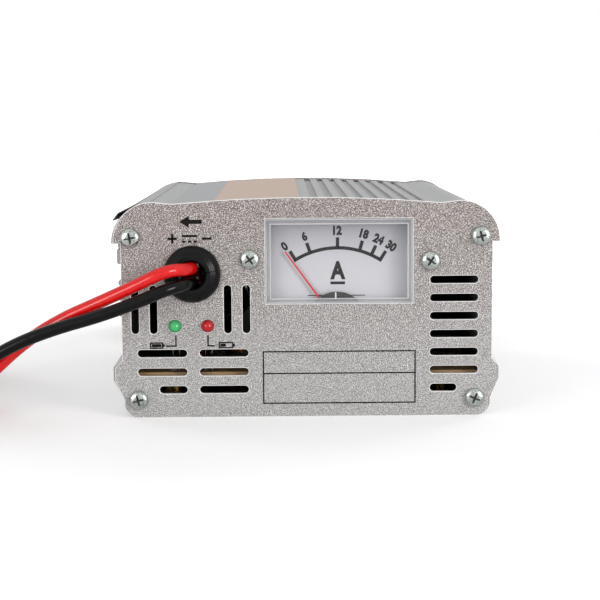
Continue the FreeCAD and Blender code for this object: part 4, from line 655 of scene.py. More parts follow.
def silver_finish():
    """Speckled silver whose speckle grows with the height, with painted shade deepening towards the top."""
    finish, tree, shader = new_finish("speckled_silver", Metallic=0.25, Specular_IOR_Level=0.35)
    flakes = grain_noise(tree, FLAKE, 1.0)
    high_up = spread(tree, along(tree, "Z"), 0.0, 1.0, *PAINT_HEIGHTS)
    # The top ramp is darker than the bottom one: painted shade on the panel's upper part.
    speckle = blended(tree, high_up, ramp(tree, flakes, BOTTOM_FLAKES), ramp(tree, flakes, SHADED_TOP_FLAKES))
    patches = spread(tree, grain_noise(tree, PATCH), 0.0, 0.30, 0.40, 0.72)
    look = blended(tree, reckoned(tree, "MULTIPLY", patches, high_up), speckle, "957f78")
    surface(tree, shader, look, flakes, (0.62, 0.34), 0.35, 0.12)
    return finish


finishes["speckled_silver"] = silver_finish()
print("silver paint, flakes of", FLAKE, "mm")

# %% [markdown]
# The smooth half of the roof is covered by a printed sheet: plain grey with one
# broad copper band. The band runs the length of the case, so its colour depends
# on X alone. A stepped ramp over X prints it, and a wide noise keeps the print
# from looking like flat plastic.

# %% Printed roof sheet
SHEET_X = (-50.0, -2.2)
BAND_START = -34.7
WEAR = 0.12


def roof_finish():
    """Grey sheet with a copper band from its start to the sheet's far edge."""
    finish, tree, shader = new_finish("printed_sheet", Specular_IOR_Level=0.15)
    across = spread(tree, along(tree, "X"), 0.0, 1.0, SHEET_X[0] * MM, SHEET_X[1] * MM)
    band = (BAND_START - SHEET_X[0]) / (SHEET_X[1] - SHEET_X[0])
    bands = ramp(tree, across, [(0.0, "abacae"), (band, "c9b3a4")], stepped=True)
    noise = grain_noise(tree, 2.0, 3.0, LENGTHWISE)
    look = blended(tree, WEAR, bands, shades(tree, noise, "8c8c8c", "ffffff"), "MULTIPLY")
    surface(tree, shader, look, noise, (0.5, 0.65), 0.1)
    return finish


finishes["printed_sheet"] = roof_finish()
print("copper band from", BAND_START, "to", SHEET_X[1], "mm")

# %% [markdown]
# The signal lamps are tinted epoxy cast round two steel legs, in one piece. The
# legs begin just behind the lamp's collar, so one step along Y parts the tinted
# epoxy from the metal. A facing term darkens the rim of the dome, as the depth of
# colour does in a real lamp.

# %% Signal lamps
LEGS_FROM_Y = -87.3
FACING_BLEND = 0.35
TINT_MIDDLE_TO = 0.1
TINT_EDGE_FROM = 0.65


def lamp_finish(name, edge, middle):
    """Tinted epoxy in front of the collar's back, steel legs behind it."""
    finish, tree, shader = new_finish(name, Specular_IOR_Level=0.3, Coat_Weight=0.4, Coat_Roughness=0.03)
    facing = (add(tree, "LayerWeight", {"Blend": FACING_BLEND}), "Facing")
    tint = ramp(tree, facing, [(TINT_MIDDLE_TO, middle), (TINT_EDGE_FROM, edge)])
    leg = reckoned(tree, "GREATER_THAN", along(tree, "Y"), LEGS_FROM_Y * MM)
    feed(tree, shader, Metallic=leg)
    # The legs get a dark steel, 58595c: painted shade for the dark inside of the case.
    surface(tree, shader, blended(tree, leg, tint, "58595c"), grain_noise(tree, 0.8), (0.14, 0.22))
    return finish


finishes["green_epoxy"] = lamp_finish("green_epoxy", "0f6e38", "40ad68")
finishes["red_epoxy"] = lamp_finish("red_epoxy", "6a0208", "b2040a")
print("lamps green and red")

# %% [markdown]
# The meter's cap is clear moulded plastic. Glass shading would bend the dial out
# of shape and slow the render, so the cap is a thin see-through coat: nearly clear
# on its flat face, a little milky on its bevel, and with a painted highlight, a bright
# line, where the bevel begins and where it ends. How far a point lies beyond the flat
# face follows from its place, so one ramp gives the tint, the painted highlights and
# how much of each there is.

# %% Meter cap
CAP_MIDDLE = {"X": 12.6, "Z": 59.75}
CAP_FLAT = {"X": 26.0, "Z": 14.15}
BEVEL_SPAN = (-0.3, 1.8)
# The near-white stops near both ends of the bevel are painted highlights.
CAP_TINT_AND_HIGHLIGHTS = ((0.0, "c8c8cc", 0.03), (0.08, "f6f6f8", 0.05), (0.16, "ffffff", 0.50), (0.27, "c2c2c6", 0.30),
             (0.80, "b4b4b8", 0.34), (0.92, "eeeef0", 0.55), (1.0, "e8e8ea", 0.65))


def beyond_flat(tree, axis):
    """How far a point lies outside the cap's flat face along one axis."""
    away = reckoned(tree, "SUBTRACT", along(tree, axis), CAP_MIDDLE[axis] * MM)
    return reckoned(tree, "SUBTRACT", reckoned(tree, "ABSOLUTE", away), CAP_FLAT[axis] * MM)


def cap_finish():
    """See-through coat, with its cover and its painted highlights in the ramp."""
    finish, tree, shader = new_finish("clear_plastic", Specular_IOR_Level=0.15)
    beyond = reckoned(tree, "MAXIMUM", beyond_flat(tree, "X"), beyond_flat(tree, "Z"))
    on_bevel = spread(tree, beyond, 0.0, 1.0, BEVEL_SPAN[0] * MM, BEVEL_SPAN[1] * MM)
    look = ramp(tree, on_bevel, CAP_TINT_AND_HIGHLIGHTS)
    feed(tree, shader, Alpha=(look[0], "Alpha"))
    surface(tree, shader, look, grain_noise(tree, 3.0), (0.03, 0.07))
    return finish


finishes["clear_plastic"] = cap_finish()
print("cap stops", len(CAP_TINT_AND_HIGHLIGHTS))

# %% [markdown]
# The dial behind the cap is white card, greyer at its top where the frame shades it.
# The clamps are dipped in soft vinyl, which is a little cloudy and never quite
# smooth, under a faint gloss. The black one shines less than the red one.

# %% Dial card and clamp vinyl
DIAL_HEIGHTS = (44 * MM, 76 * MM)


def dial_finish():
    """White card, shaded towards its top."""
    finish, tree, shader = new_finish("white_dial", Specular_IOR_Level=0.3)
    height = spread(tree, along(tree, "Z"), 0.0, 1.0, *DIAL_HEIGHTS)
    look = ramp(tree, height, [(0.0, "cbcbcf"), (0.55, "b9b9be"), (1.0, "8a8a8f")])
    surface(tree, shader, look, grain_noise(tree, 0.5), (0.45, 0.6))
    return finish


def vinyl_finish(name, dark, light, shine):
    """Soft vinyl with a faint orange-peel surface."""
    finish, tree, shader = new_finish(name, Specular_IOR_Level=shine, Coat_Weight=0.1, Coat_Roughness=0.2)
    noise = grain_noise(tree, 1.2, 3.0)
    surface(tree, shader, shades(tree, noise, dark, light), noise, (0.30, 0.42), 0.2)
    return finish


finishes["white_dial"] = dial_finish()
finishes["red_vinyl"] = vinyl_finish("red_vinyl", "b2060e", "cc121a", 0.4)
finishes["black_vinyl"] = vinyl_finish("black_vinyl", "0b0b0c", "141415", 0.25)
print("finishes in all", len(finishes))

# %% [markdown]
# A solid of the frame keeps its shape and gets its finish through its own material
# slot. The record says which slot each node has, so one loop dresses them all.

# %% Finishes on the frame's own solids
slots = {row["node"]: row["material_slot"] for row in frame["record"]["subparts"]}
for node_name, solid in nodes.items():
    for number in range(len(solid.material_slots)):
        solid.material_slots[number].material = finishes[slots[node_name]]
print("nodes with a finish", len(slots))

# %% [markdown]
# Some solids need more than a finish. Each of those is copied from the frame, its
# loose triangles are merged into whole faces, its edges are worked on, and the copy
# stands for the node. Shading that weighs each face by its area keeps the large flats
# flat beside narrow bevels.

# %% Copies of frame solids
SAME_PLACE = 1e-6
FLAT_WITHIN = math.radians(1.0)
SHARP_FROM = math.radians(35)


def merged_copy(node_name):
    """Editable copy of a frame solid with its triangles merged into whole faces."""
    mesh = bmesh.new()
    mesh.from_mesh(nodes[node_name].data)
    bmesh.ops.remove_doubles(mesh, verts=mesh.verts, dist=SAME_PLACE)
    bmesh.ops.dissolve_limit(mesh, angle_limit=FLAT_WITHIN, verts=mesh.verts, edges=mesh.edges)
    mesh.normal_update()
    return mesh


def bevelled(mesh, edges, width, held_back, **settings):
    """Round edges by a width in millimetres; held back, a bevel stops where two meet."""
    bmesh.ops.bevel(mesh, geom=edges, offset=width * MM, offset_type="OFFSET", segments=2, profile=0.5,
                    affect="EDGES", clamp_overlap=held_back, **settings)


def finished_piece(name, mesh, slot_names, body="charger", sharp=SHARP_FROM):
    """Object of a made mesh with its finishes, riding on a body."""
    data = handed_over(name, mesh)
    data.set_sharp_from_angle(angle=sharp)
    for slot_name in slot_names:
        data.materials.append(finishes[slot_name])
    piece = placed(name, data)
    shading = piece.modifiers.new("weigh_by_area", "WEIGHTED_NORMAL")
    shading.keep_sharp = True
    shaded = evaluated_mesh(piece)
    piece.modifiers.remove(shading)
    piece.data = shaded
    bpy.data.meshes.remove(data)
    shaded.name = name
    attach(piece, body)
    return piece


print("merging what turns less than", round(math.degrees(FLAT_WITHIN), 1), "degree")

# %% [markdown]
# The two end panels are sprayed sheet. Where they are cut the bare metal shows, as a
# thin bright line round every slot, and this line is what makes the slots look cut
# and not printed. So the walls of every opening and the panel's own rim are bare, and
# their outer edges get a narrow bevel of the same metal.

# %% Panels with bare cut edges
CUT = 0.22
OUTER_WITHIN = 0.05
FACING_OUT = 0.99
CUT_WALL_BELOW = 0.7


def punched_panel(name, node_name, outward):
    """End panel whose cut edges are bare; outward is the sign of its outer face along Y."""
    mesh = merged_copy(node_name)
    outer = {face for face in mesh.faces if face.normal.y * outward > FACING_OUT
             and abs(abs(face.calc_center_median().y) - HALF_LENGTH * MM) < OUTER_WITHIN * MM}
    rims = [edge for edge in mesh.edges if len(edge.link_faces) == 2
            and len([face for face in edge.link_faces if face in outer]) == 1]
    for face in mesh.faces:
        face.material_index = 1 if abs(face.normal.y) < CUT_WALL_BELOW else 0
    bevelled(mesh, rims, CUT, False, material=1)
    mesh.normal_update()
    piece = finished_piece(name, mesh, ("speckled_silver", "bare_edge"))
    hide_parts(node_name)
    print(name, "rim edges", len(rims), "faces", len(piece.data.polygons))


punched_panel("front_panel_punched", "front_panel", -1)
punched_panel("rear_panel_punched", "rear_panel", 1)

# %% [markdown]
# All the case's screws are the same kind: zinc-plated pan heads with a cross
# recess. One screw is modelled. Its head is made of rings, and the angles of each
# ring are moved to where the four arms of the recess have their walls, so that few
# points give crisp edges.

# %% One cross-head screw
HEAD_RINGS = (0.18, 0.26, 0.36, 0.47, 0.56, 0.66, 0.77, 0.87, 0.94, 0.98, 1.0)
RECESS_REACH = 0.56
RECESS_DEPTH = 0.62
ARM_HALF = 0.125
ARM_TAPER = 0.03
ARM_WIDEST = 0.66
ARM_FLOOR = 0.7
BETWEEN_ARMS = (0.25, 0.5, 0.75, 1.0)
RIM_SHARE = 0.42
DOME_FLAT = 2.8
DOME_ROUND = 0.45
CHAMFER = 0.6
SCREW_SHARP_FROM = math.radians(38)
QUARTER = math.pi / 2


def screw_height(r, head_r, head_h):
    """Height of a pan head over its seat: a straight rim with a flat dome on it."""
    dome = (1 - min(r / head_r, 1.0) ** DOME_FLAT) ** DOME_ROUND
    return head_h * (RIM_SHARE + (1 - RIM_SHARE) * dome)


def head_steps(r, head_r, depth):
    """Angles on a quarter of one ring, each with how far the recess sinks it."""
    inside = r / (RECESS_REACH * head_r)
    half = head_r * (ARM_HALF - ARM_TAPER * min(inside, 1.0))
    drop = depth * max(0.0, 1 - inside ** 3)
    edge = math.asin(min(half / r, ARM_WIDEST))
    arm = [(-ARM_FLOOR * edge, drop), (0.0, drop), (ARM_FLOOR * edge, drop), (edge, 0.0)]
    return arm + [(edge + (QUARTER - 2 * edge) * share, 0.0) for share in BETWEEN_ARMS]


def ring_of(mesh, r, y, angles):
    """Ring of points round the Y axis, in millimetres."""
    return [mesh.verts.new((r * MM * math.cos(a), y * MM, r * MM * math.sin(a))) for a in angles]


def cross_head_screw(name, head_r, head_h, shank_r, shank):
    """Screw pointing its head along -Y from its seat at Y = 0, in metres."""
    mesh = bmesh.new()
    depth = RECESS_DEPTH * head_h
    rings = []
    depths = []
    for r in [head_r * share for share in HEAD_RINGS]:
        top = screw_height(r, head_r, head_h)
        steps = [(a + arm * QUARTER, low) for arm in range(4) for a, low in head_steps(r, head_r, depth)]
        rings.append([ring_of(mesh, r, low - top, [angle])[0] for angle, low in steps])
        depths += [low / depth for angle, low in steps]
    around = [math.atan2(v.co.z, v.co.x) for v in rings[-1]]
    for r, y in ((head_r, 0.0), (shank_r, 0.0), (shank_r, shank - CHAMFER), (0.5 * shank_r, shank)):
        rings.append(ring_of(mesh, r, y, around))
        depths += [0.0] * len(around)
    bottom = mesh.verts.new((0, (depth - screw_height(0, head_r, head_h)) * MM, 0))
    depths.append(1.0)
    count = len(around)
    for k in range(count):
        following = (k + 1) % count
        mesh.faces.new((bottom, rings[0][k], rings[0][following]))
        for lower, upper in zip(rings, rings[1:]):
            mesh.faces.new((lower[k], upper[k], upper[following], lower[following]))
    mesh.faces.new(rings[-1])
    bmesh.ops.recalc_face_normals(mesh, faces=mesh.faces)
    data = handed_over(name, mesh)
    data.set_sharp_from_angle(angle=SCREW_SHARP_FROM)
    stored = data.attributes.new("recess", "FLOAT", "POINT")
    stored.data.foreach_set("value", depths)
    return bpy.data.objects.new(name, data)


print("a head of 2.4 mm stands", round(screw_height(0, 3.7, 2.4), 2), "mm over its seat")

# %% [markdown]
# Screws are driven into every seat of a kind, and no two stop at the same angle. A
# Geometry Nodes tree does the same: it stands the screw on each seat, turns it by a
# random angle and faces those at the back the other way. Its inputs are the screw,
# its size against the one modelled, the seed of the turns and the finish.

# %% Geometry Nodes tree that seats the screws
SEAT_SOCKETS = (("Geometry", "INPUT", "Geometry"), ("Screw", "INPUT", "Object"), ("Size", "INPUT", "Float"),
                ("Seed", "INPUT", "Int"), ("Finish", "INPUT", "Material"), ("Geometry", "OUTPUT", "Geometry"))


def seating_tree():
    """Tree that stands a screw on every point, with its inputs named."""
    tree = bpy.data.node_groups.new("seat_screws", "GeometryNodeTree")
    for label, side, kind in SEAT_SOCKETS:
        tree.interface.new_socket(label, in_out=side, socket_type="NodeSocket" + kind)
    given = add(tree, "NodeGroupInput")
    form = add(tree, "GeometryNodeObjectInfo", transform_space="ORIGINAL")
    chance = add(tree, "FunctionNodeRandomValue", {3: QUARTER}, data_type="FLOAT")
    seat = add(tree, "SeparateXYZ")
    angles = add(tree, "CombineXYZ")
    stand = add(tree, "GeometryNodeInstanceOnPoints")
    solid = add(tree, "GeometryNodeRealizeInstances")
    plated = add(tree, "GeometryNodeSetMaterial")
    wire(tree, (add(tree, "GeometryNodeInputPosition"), 0), (seat, 0))
    behind = reckoned(tree, "GREATER_THAN", (seat, "Y"), 0.0)
    links = (((given, "Screw"), (form, "Object")), ((given, "Seed"), (chance, "Seed")),
             ((chance, 1), (angles, "Y")), (reckoned(tree, "MULTIPLY", behind, math.pi), (angles, "Z")),
             ((given, "Geometry"), (stand, "Points")), ((form, "Geometry"), (stand, "Instance")),
             ((angles, 0), (stand, "Rotation")), ((given, "Size"), (stand, "Scale")),
             ((stand, 0), (solid, 0)), ((solid, 0), (plated, "Geometry")),
             ((given, "Finish"), (plated, "Material")), ((plated, 0), (add(tree, "NodeGroupOutput"), 0)))
    for source, target in links:
        wire(tree, source, target)
    return tree


seat_tree = seating_tree()
print("nodes in the tree", len(seat_tree.nodes))

# %% [markdown]
# The tree runs once for each kind of screw, on a mesh that is nothing but the seats as
# points. Each row below gives a kind its sizes, its seats and its seed; the sizes are
# the head's radius and height, and the shank's radius and length. A modifier's input is
# set by its socket's identifier. What the tree makes is kept as a plain mesh, and the
# points, the modifier and the model screw go.

# %% Screws in their seats
case_seats = [(side * x, end * HALF_LENGTH, z) for x, z in ((66.4, 69.0), (64.2, 7.0))
              for side in (-1, 1) for end in (-1, 1)]
meter_seats = [(-21.3, -HALF_LENGTH, 60.6), (47.3, -HALF_LENGTH, 59.7)]
fan_seats = [(25.4, HALF_LENGTH, 65.6), (-24.6, HALF_LENGTH, 15.6)]
SCREWS = {
    "case_screws": ((3.7, 2.4, 1.5, 12.0), case_seats, 3),
    "meter_screws": ((3.7, 2.4, 1.5, 4.6), meter_seats, 11),
    "fan_screws": ((4.6, 2.4, 2.0, 14.0), fan_seats, 5),
}


def seated_screws(name, node_name, sizes, seats, seed):
    """Plain mesh of screws on their seats, standing for a frame node."""
    screw = cross_head_screw(name + "_form", *sizes)
    points = bpy.data.meshes.new(name + "_seats")
    points.from_pydata([(x * MM, y * MM, z * MM) for x, y, z in seats], [], [])
    carrier = placed(name + "_carrier", points)
    modifier = carrier.modifiers.new("seat_screws", "NODES")
    modifier.node_group = seat_tree
    inputs = {"Screw": screw, "Size": 1.0, "Seed": seed, "Finish": finishes["zinc"]}
    for item in seat_tree.interface.items_tree:
        if item.in_out == "INPUT" and item.name in inputs:
            modifier[item.identifier] = inputs[item.name]
    data = evaluated_mesh(carrier)
    data.name = name
    carrier.modifiers.remove(modifier)
    bpy.data.objects.remove(carrier)
    bpy.data.objects.remove(screw)
    piece = placed(name, data)
    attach(piece, "charger")
    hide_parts(node_name)
    print(name, "screws", len(seats), "faces", len(data.polygons))


for node_name, (sizes, seats, seed) in SCREWS.items():
    seated_screws(node_name + "_cross", node_name, sizes, seats, seed)

# %% [markdown]
# The handles of the clamps carry moulded ribs for the fingers. They are short rounded
# bars across the outer side, which is an arc, so their places are worked out along
# its circle. A rib is a prism: its outline once at each end, and faces between.

# %% Finger ribs
HANDLE_ARC = ((0.0, 20.5), (20.0, 17.9), (37.0, 10.4))
RIB_FIRST = 9.0
RIB_STEP = 2.4
RIB_COUNT = 9
RIB_LEVELS = (1.8, 12.2)
RIB_OUTLINE = ((-0.6, -0.3), (-0.5, 0.1), (-0.25, 0.35), (0.0, 0.45), (0.25, 0.35), (0.5, 0.1), (0.6, -0.3))


def prism(mesh, lower, upper):
    """Closed faces between two rings of points, turned outwards."""
    faces = [mesh.faces.new(lower), mesh.faces.new(upper)]
    for k in range(len(lower)):
        following = (k + 1) % len(lower)
        faces.append(mesh.faces.new((lower[k], lower[following], upper[following], upper[k])))
    bmesh.ops.recalc_face_normals(mesh, faces=faces)


def circle_through(points):
    """Middle and radius of the circle through three points."""
    a, b, c = (Vector(p) for p in points)
    u, v = b - a, c - a
    cross = 2 * (u.x * v.y - u.y * v.x)
    middle = a + Vector((v.y * u.dot(u) - u.y * v.dot(v), u.x * v.dot(v) - v.x * u.dot(u))) / cross
    return middle, (middle - a).length


def add_ribs(mesh, side, hand):
    """Ribs on a handle's outer side; hand is 1 for the one with the lead, -1 for the other."""
    middle, radius = circle_through(HANDLE_ARC)
    for number in range(RIB_COUNT):
        x = RIB_FIRST + number * RIB_STEP
        out = Vector((x - middle.x, math.sqrt(radius ** 2 - (x - middle.x) ** 2))) / radius
        on_arc = middle + out * radius
        corners = [on_arc + Vector((out.y, -out.x)) * s + out * h for s, h in RIB_OUTLINE]
        prism(mesh, *([mesh.verts.new(clamp_point(side, c.x, hand * c.y, z) * MM) for c in corners]
                      for z in RIB_LEVELS))


print("handle's outer side, radius", round(circle_through(HANDLE_ARC)[1], 1), "mm")

# %% [markdown]
# The dipped clamps and the moulded plug have no sharp edge anywhere. Their frame
# solids have the right shapes with the edges still crisp, so each copy is given a
# small bevel along every edge that turns more than 40 degrees.

# %% Softened clamps and plug
ROUND_FROM = math.radians(40)
SOFT_SHARP_FROM = math.radians(50)
HANDLE_ROUND = 0.5
PLUG_ROUND = 0.8


def softened(name, node_name, radius, slot_name, body="charger", ribs_for=None):
    """Copy of a frame solid with its sharp edges rounded; the radius is in millimetres."""
    mesh = merged_copy(node_name)
    crisp = [edge for edge in mesh.edges if len(edge.link_faces) == 2
             and edge.calc_face_angle(0.0) > ROUND_FROM]
    bevelled(mesh, crisp, radius, True)
    bmesh.ops.dissolve_degenerate(mesh, dist=SAME_PLACE, edges=mesh.edges)
    if ribs_for:
        add_ribs(mesh, *ribs_for)
    mesh.normal_update()
    piece = finished_piece(name, mesh, (slot_name,), body, SOFT_SHARP_FROM)
    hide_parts(node_name)
    print(name, "rounded edges", len(crisp), "faces", len(piece.data.polygons))
    return piece


for side in leads:
    [softened(side + "_clamp_" + made, side + "_clamp_" + lever, HANDLE_ROUND,
                              side + "_vinyl", body, (side, hand))
                     for made, lever, body, hand in (("lower_handle", "fixed_lever", "charger", 1),
                                                     ("upper_handle", "moving_lever", side + "_jaw", -1))]
plug_body = softened("plug_body_moulded", "plug_body", PLUG_ROUND, "black_rubber")

# %% [markdown]
# A cord made in the scene stands for the stiff tubes of the frame. Each one gets its
# finish and rides on the charger's body, and the frame's tubes and coils that it
# stands for are hidden.

all_cords = {leads["red"]: "red_rubber", leads["black"]: "black_rubber", mains_cord: "black_rubber"}
for inner_name, cord in inner_cords.items():
    all_cords[cord] = "red_rubber" if inner_name == "inner_red" else "black_rubber"
for cord, slot_name in all_cords.items():
    cord.data.materials.append(finishes[slot_name])
    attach(cord, "charger")
for side, cord in leads.items():
    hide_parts(side + "_lead", side + "_coil")
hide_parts("mains_lead", "mains_coil")
for inner_name, cord in inner_cords.items():
    points, radius, length = inner_routes[inner_name]
for cord in inner_cords.values():
    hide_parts("inner_leads")
print("cords declared", len(all_cords))

# %% [markdown]
# Printing is ink on a surface: thin, flat and sharp. It could be painted by a
# material, but a mark with its own closed outline stays crisp from any distance
# and keeps its place in other programs. So each mark is a prism a few hundredths
# of a millimetre thick. What is printed on together is called a plate here: the mesh,
# where its surface lies along Y, and which way it faces.

# %% Strokes of ink
INK = 0.05


def printed(plate, outline, centre=(0, 0), turned=0.0):
    """Ink inside an outline of (x, z) pairs in millimetres, turned clockwise in degrees."""
    mesh, y, outward = plate
    cos, sin = math.cos(math.radians(turned)), math.sin(math.radians(turned))
    flat = [(centre[0] + x * cos + z * sin, centre[1] - x * sin + z * cos) for x, z in outline]
    prism(mesh, *([mesh.verts.new((x * MM, (y + outward * lift) * MM, z * MM)) for x, z in flat]
                  for lift in (0.0, INK)))


def stroke(plate, start, end, width):
    """Straight stroke of ink between two (x, z) points."""
    start, end = Vector(start), Vector(end)
    run = end - start
    side = Vector((-run.y, run.x)).normalized() * width / 2
    printed(plate, [tuple(start + side), tuple(start - side), tuple(end - side), tuple(end + side)])


print("ink is", INK, "mm thick")

# %% [markdown]
# The figures come from a font. Its letters are made a mesh, narrowed and thickened
# to match the bold narrow figures on the meter, scaled to their height, and laid on
# the plate.

# %% Figures
HALF_DEEP = 0.5
ROUND_STEPS = 3


def figures(plate, text, size, centre, turned, narrow, bold):
    """Figures from the font as closed prisms, centred, facing -Y."""
    mesh, y, outward = plate
    letters = bpy.data.curves.new("figures", "FONT")
    letters.body = text
    letters.size = 1.0
    letters.offset = bold
    letters.extrude = HALF_DEEP
    letters.resolution_u = ROUND_STEPS
    shape = placed("figures", letters)
    data = evaluated_mesh(shape)
    bpy.data.objects.remove(shape)
    xs = [v.co.x for v in data.vertices]
    ys = [v.co.y for v in data.vertices]
    middle = ((max(xs) + min(xs)) / 2, (max(ys) + min(ys)) / 2)
    scale = size / (max(ys) - min(ys))
    cos, sin = math.cos(math.radians(turned)), math.sin(math.radians(turned))
    for vertex in data.vertices:
        x = (vertex.co.x - middle[0]) * scale * narrow
        z = (vertex.co.y - middle[1]) * scale
        lift = (vertex.co.z + HALF_DEEP) * INK
        right, up = centre[0] + x * cos + z * sin, centre[1] - x * sin + z * cos
        vertex.co = (right * MM, (y + outward * lift) * MM, up * MM)
    mesh.from_mesh(data)
    bpy.data.meshes.remove(data)


# %% [markdown]
# The dial carries a scale from 0 to 30, drawn round a point below the pivot, with a
# tick and a figure at each mark, and a large A over a bar, the sign for amperes of
# direct current. The marks are uneven, as on the real dial. Two hairlines run out
# from the black half-disc at the bottom, and a white index stands on its top.

# %% Printing on the dial
DIAL_Y = -83.2
DOME_Y = -86.65
SCALE_CENTRE = (12.25, 33.4)
ARC_R = 30.8
LINE_W = 1.3
TICK_LENGTH = 4.0
FIGURE_R = ARC_R + 6.7
ARC_STEPS = 40
SCALE_MARKS = ((-32.8, "0"), (-19.8, "6"), (0.0, "12"), (15.9, "18"), (24.9, "24"), (33.3, "30"))
FIGURE_H = 3.65
FIGURE_WIDTH = 0.86
FIGURE_BOLD = 0.058
SIGN_AT = (12.35, 55.6)
SIGN_H = 7.1
SIGN_WIDTH = 0.80
SIGN_BOLD = 0.045
SIGN_BAR = ((9.5, 50.7), (15.1, 50.7))
SIGN_BAR_W = 1.1
HAIRLINES = ((7.3, 0.8), (16.3, 22.8))
HAIRLINE_Z = 45.9
HAIRLINE_W = 0.35
INDEX = ((11.4, 44.9), (11.4, 47.4))
INDEX_W = 0.5


def on_dial(angle, radius):
    """Point round the scale's centre, the angle clockwise from straight up."""
    a = math.radians(angle)
    return SCALE_CENTRE[0] + radius * math.sin(a), SCALE_CENTRE[1] + radius * math.cos(a)


dial_plate = (bmesh.new(), DIAL_Y, -1)
first_mark, last_mark = SCALE_MARKS[0][0], SCALE_MARKS[-1][0]
sweep = [first_mark + (last_mark - first_mark) * k / ARC_STEPS for k in range(ARC_STEPS + 1)]
printed(dial_plate, [on_dial(a, ARC_R + LINE_W / 2) for a in sweep]
        + [on_dial(a, ARC_R - LINE_W / 2) for a in reversed(sweep)])
tick_half = 0.5 * math.degrees(LINE_W / ARC_R)
for angle, text in SCALE_MARKS:
    inset = {first_mark: tick_half, last_mark: -tick_half}.get(angle, 0.0)
    foot = on_dial(angle + inset, ARC_R - LINE_W / 2)
    stroke(dial_plate, foot, on_dial(angle + inset, ARC_R + TICK_LENGTH), LINE_W)
    figures(dial_plate, text, FIGURE_H, on_dial(angle, FIGURE_R), angle, FIGURE_WIDTH, FIGURE_BOLD)
figures(dial_plate, "A", SIGN_H, SIGN_AT, 0.0, SIGN_WIDTH, SIGN_BOLD)
stroke(dial_plate, *SIGN_BAR, SIGN_BAR_W)
for begin, end in HAIRLINES:
    stroke(dial_plate, (begin, HAIRLINE_Z), (end, HAIRLINE_Z), HAIRLINE_W)
finished_piece("dial_printing", dial_plate[0], ("black_ink",))
dome_plate = (bmesh.new(), DOME_Y, -1)
stroke(dome_plate, *INDEX, INDEX_W)
finished_piece("dome_index", dome_plate[0], ("white_paper",))
print("dial marks", len(SCALE_MARKS))

# %% [markdown]
# The panels carry plain marks: an arrow, a framed field and a small battery that is
# more or less full. Each is drawn more than once, so each has a helper of its own.

# %% Marks of a few strokes
FRAME_W = 0.5
ARROW_HEAD = 0.42
ARROW_SHAFT = 0.17
CELL_H = 2.5
CELL_W = 0.5
CELL_TIP = 0.6
CELL_TIP_H = 1.125
FILLING_H = 1.2
FILLING_START = 0.15
FILLING_LESS = 1.1


def framed_field(plate, corner, opposite, divider):
    """Rectangle of four strokes and one across it."""
    (x0, z0), (x1, z1) = corner, opposite
    half = FRAME_W / 2
    for z in (z0, divider, z1):
        stroke(plate, (x0 - half, z), (x1 + half, z), FRAME_W)
    for x in (x0, x1):
        for low, high in ((z0, divider), (divider, z1)):
            stroke(plate, (x, low + half), (x, high - half), FRAME_W)


def battery(plate, centre, length, filled):
    """Small battery lying down: a case of strokes, a terminal and its filling."""
    x, z = centre
    for end in (-1, 1):
        level = z + end * (CELL_H - CELL_W) / 2
        wall = x + end * (length - CELL_W) / 2
        stroke(plate, (x - length / 2, level), (x + length / 2, level), CELL_W)
        stroke(plate, (wall, z - CELL_H / 2 + CELL_W), (wall, z + CELL_H / 2 - CELL_W), CELL_W)
    stroke(plate, (x + length / 2, z), (x + length / 2 + CELL_TIP, z), CELL_TIP_H)
    inner = length - FILLING_LESS
    begin = x - inner / 2 + FILLING_START
    stroke(plate, (begin, z), (begin + inner * filled, z), FILLING_H)


def arrow(plate, centre, length, width, turned=0.0):
    """Bold arrow pointing to +X before it is turned."""
    neck = length / 2 - ARROW_HEAD * length
    shaft = width * ARROW_SHAFT
    outline = [(-length / 2, shaft), (-length / 2, -shaft), (neck, -shaft), (neck, -width / 2),
               (length / 2, 0.0), (neck, width / 2), (neck, shaft)]
    printed(plate, outline, centre, turned)


print("frames are drawn", FRAME_W, "mm wide")

# %% [markdown]
# On the front an arrow out of the case stands over the output, and below it a plus, the
# direct-current sign and a minus. A thin line leads from each signal lamp to a small
# battery, full for the green lamp and half full for the red one. A framed field with
# one line across it stands on the right.

# %% Printing on the front
FRONT_ARROW = ((-43.4, 75.0), 8.4, 4.6, 180.0)
PLUS = (((-52.2, 68.6), (-48.6, 68.6)), ((-50.4, 66.8), (-50.4, 70.4)))
MINUS = ((-39.2, 68.6), (-35.6, 68.6))
POLE_W = 0.9
CURRENT_BAR = ((-46.8, 69.6), (-41.0, 69.6))
CURRENT_DASHES = (-46.1, -43.9, -41.7)
DASH_Z = 67.5
DASH_HALF = 0.6
CURRENT_W = 0.85
LEADERS = ((-49.6, -53.4), (-37.4, -34.9))
LEADER_TOP = 31.8
LEADER_Z = 27.7
LEADER_W = 0.56
BATTERIES = (((-57.0, 27.9), 5.0, 0.92), ((-30.6, 27.9), 5.6, 0.45))
FRONT_FIELD = ((-16.4, 5.3), (41.5, 25.2), 16.8)
front_plate = (bmesh.new(), -HALF_LENGTH, -1)
arrow(front_plate, *FRONT_ARROW)
for start, end in (*PLUS, MINUS):
    stroke(front_plate, start, end, POLE_W)
stroke(front_plate, *CURRENT_BAR, CURRENT_W)
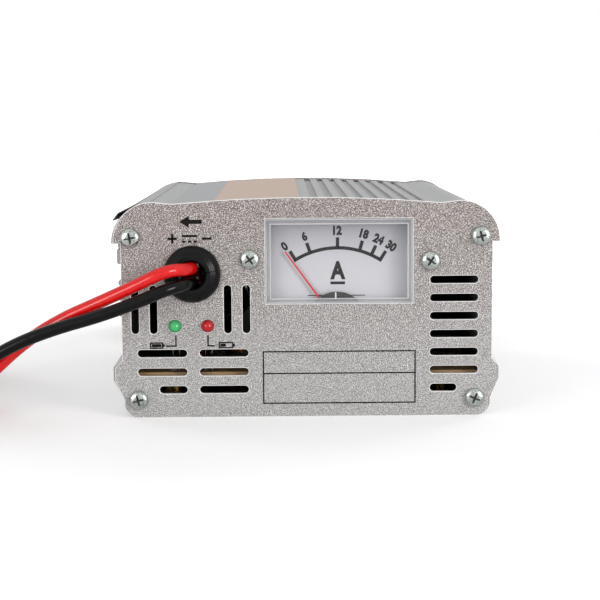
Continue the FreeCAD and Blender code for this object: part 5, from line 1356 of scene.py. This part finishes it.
for x in CURRENT_DASHES:
    stroke(front_plate, (x - DASH_HALF, DASH_Z), (x + DASH_HALF, DASH_Z), CURRENT_W)
for x, battery_x in LEADERS:
    over = math.copysign(LEADER_W / 2, battery_x - x)
    stroke(front_plate, (x, LEADER_TOP), (x, LEADER_Z + LEADER_W / 2), LEADER_W)
    stroke(front_plate, (x - over, LEADER_Z), (battery_x, LEADER_Z), LEADER_W)
for centre, length, filled in BATTERIES:
    battery(front_plate, centre, length, filled)
framed_field(front_plate, *FRONT_FIELD)
front_print = finished_piece("front_printing", front_plate[0], ("black_ink",))
print("front printing faces", len(front_print.data.polygons))

# %% [markdown]
# The back has the matching marks: an arrow into the case over the sine wave of
# alternating current, above the mains inlet, and a framed field. The wave is a row of
# points, and its ink reaches equally far to either side of them.

# %% Printing on the back
REAR_ARROW = ((-48.9, 46.4), 8.0, 4.4)
REAR_FIELD = ((32.7, 25.6), (67.3, 56.4), 40.7)
WAVE_X = -48.9
WAVE_Z = 39.6
WAVE_REACH = 4.14
WAVE_RISE = 1.5
WAVE_STEPS = 16
WAVE_HALF = 0.42
rear_plate = (bmesh.new(), HALF_LENGTH, 1)
arrow(rear_plate, *REAR_ARROW)
wave = [Vector((WAVE_X + WAVE_REACH * k / WAVE_STEPS,
                WAVE_Z + WAVE_RISE * math.sin(2 * math.pi * k / WAVE_STEPS)))
        for k in range(-WAVE_STEPS, WAVE_STEPS + 1)]
upper = []
lower = []
for k, here in enumerate(wave):
    ahead = (wave[min(k + 1, len(wave) - 1)] - wave[max(k - 1, 0)]).normalized()
    side = Vector((-ahead.y, ahead.x)) * WAVE_HALF
    upper.append(tuple(here + side))
    lower.append(tuple(here - side))
printed(rear_plate, upper + lower[::-1])
framed_field(rear_plate, *REAR_FIELD)
rear_print = finished_piece("rear_printing", rear_plate[0], ("black_ink",))
print("rear printing faces", len(rear_print.data.polygons))

# %% [markdown]
# At the end the view layer is brought up to date. The dressed charger may be a hair
# smaller than the bare frame, where a cord stands for a stiff tube, but finishes and
# trim never make it larger.

# %% The end
bpy.context.view_layer.update()
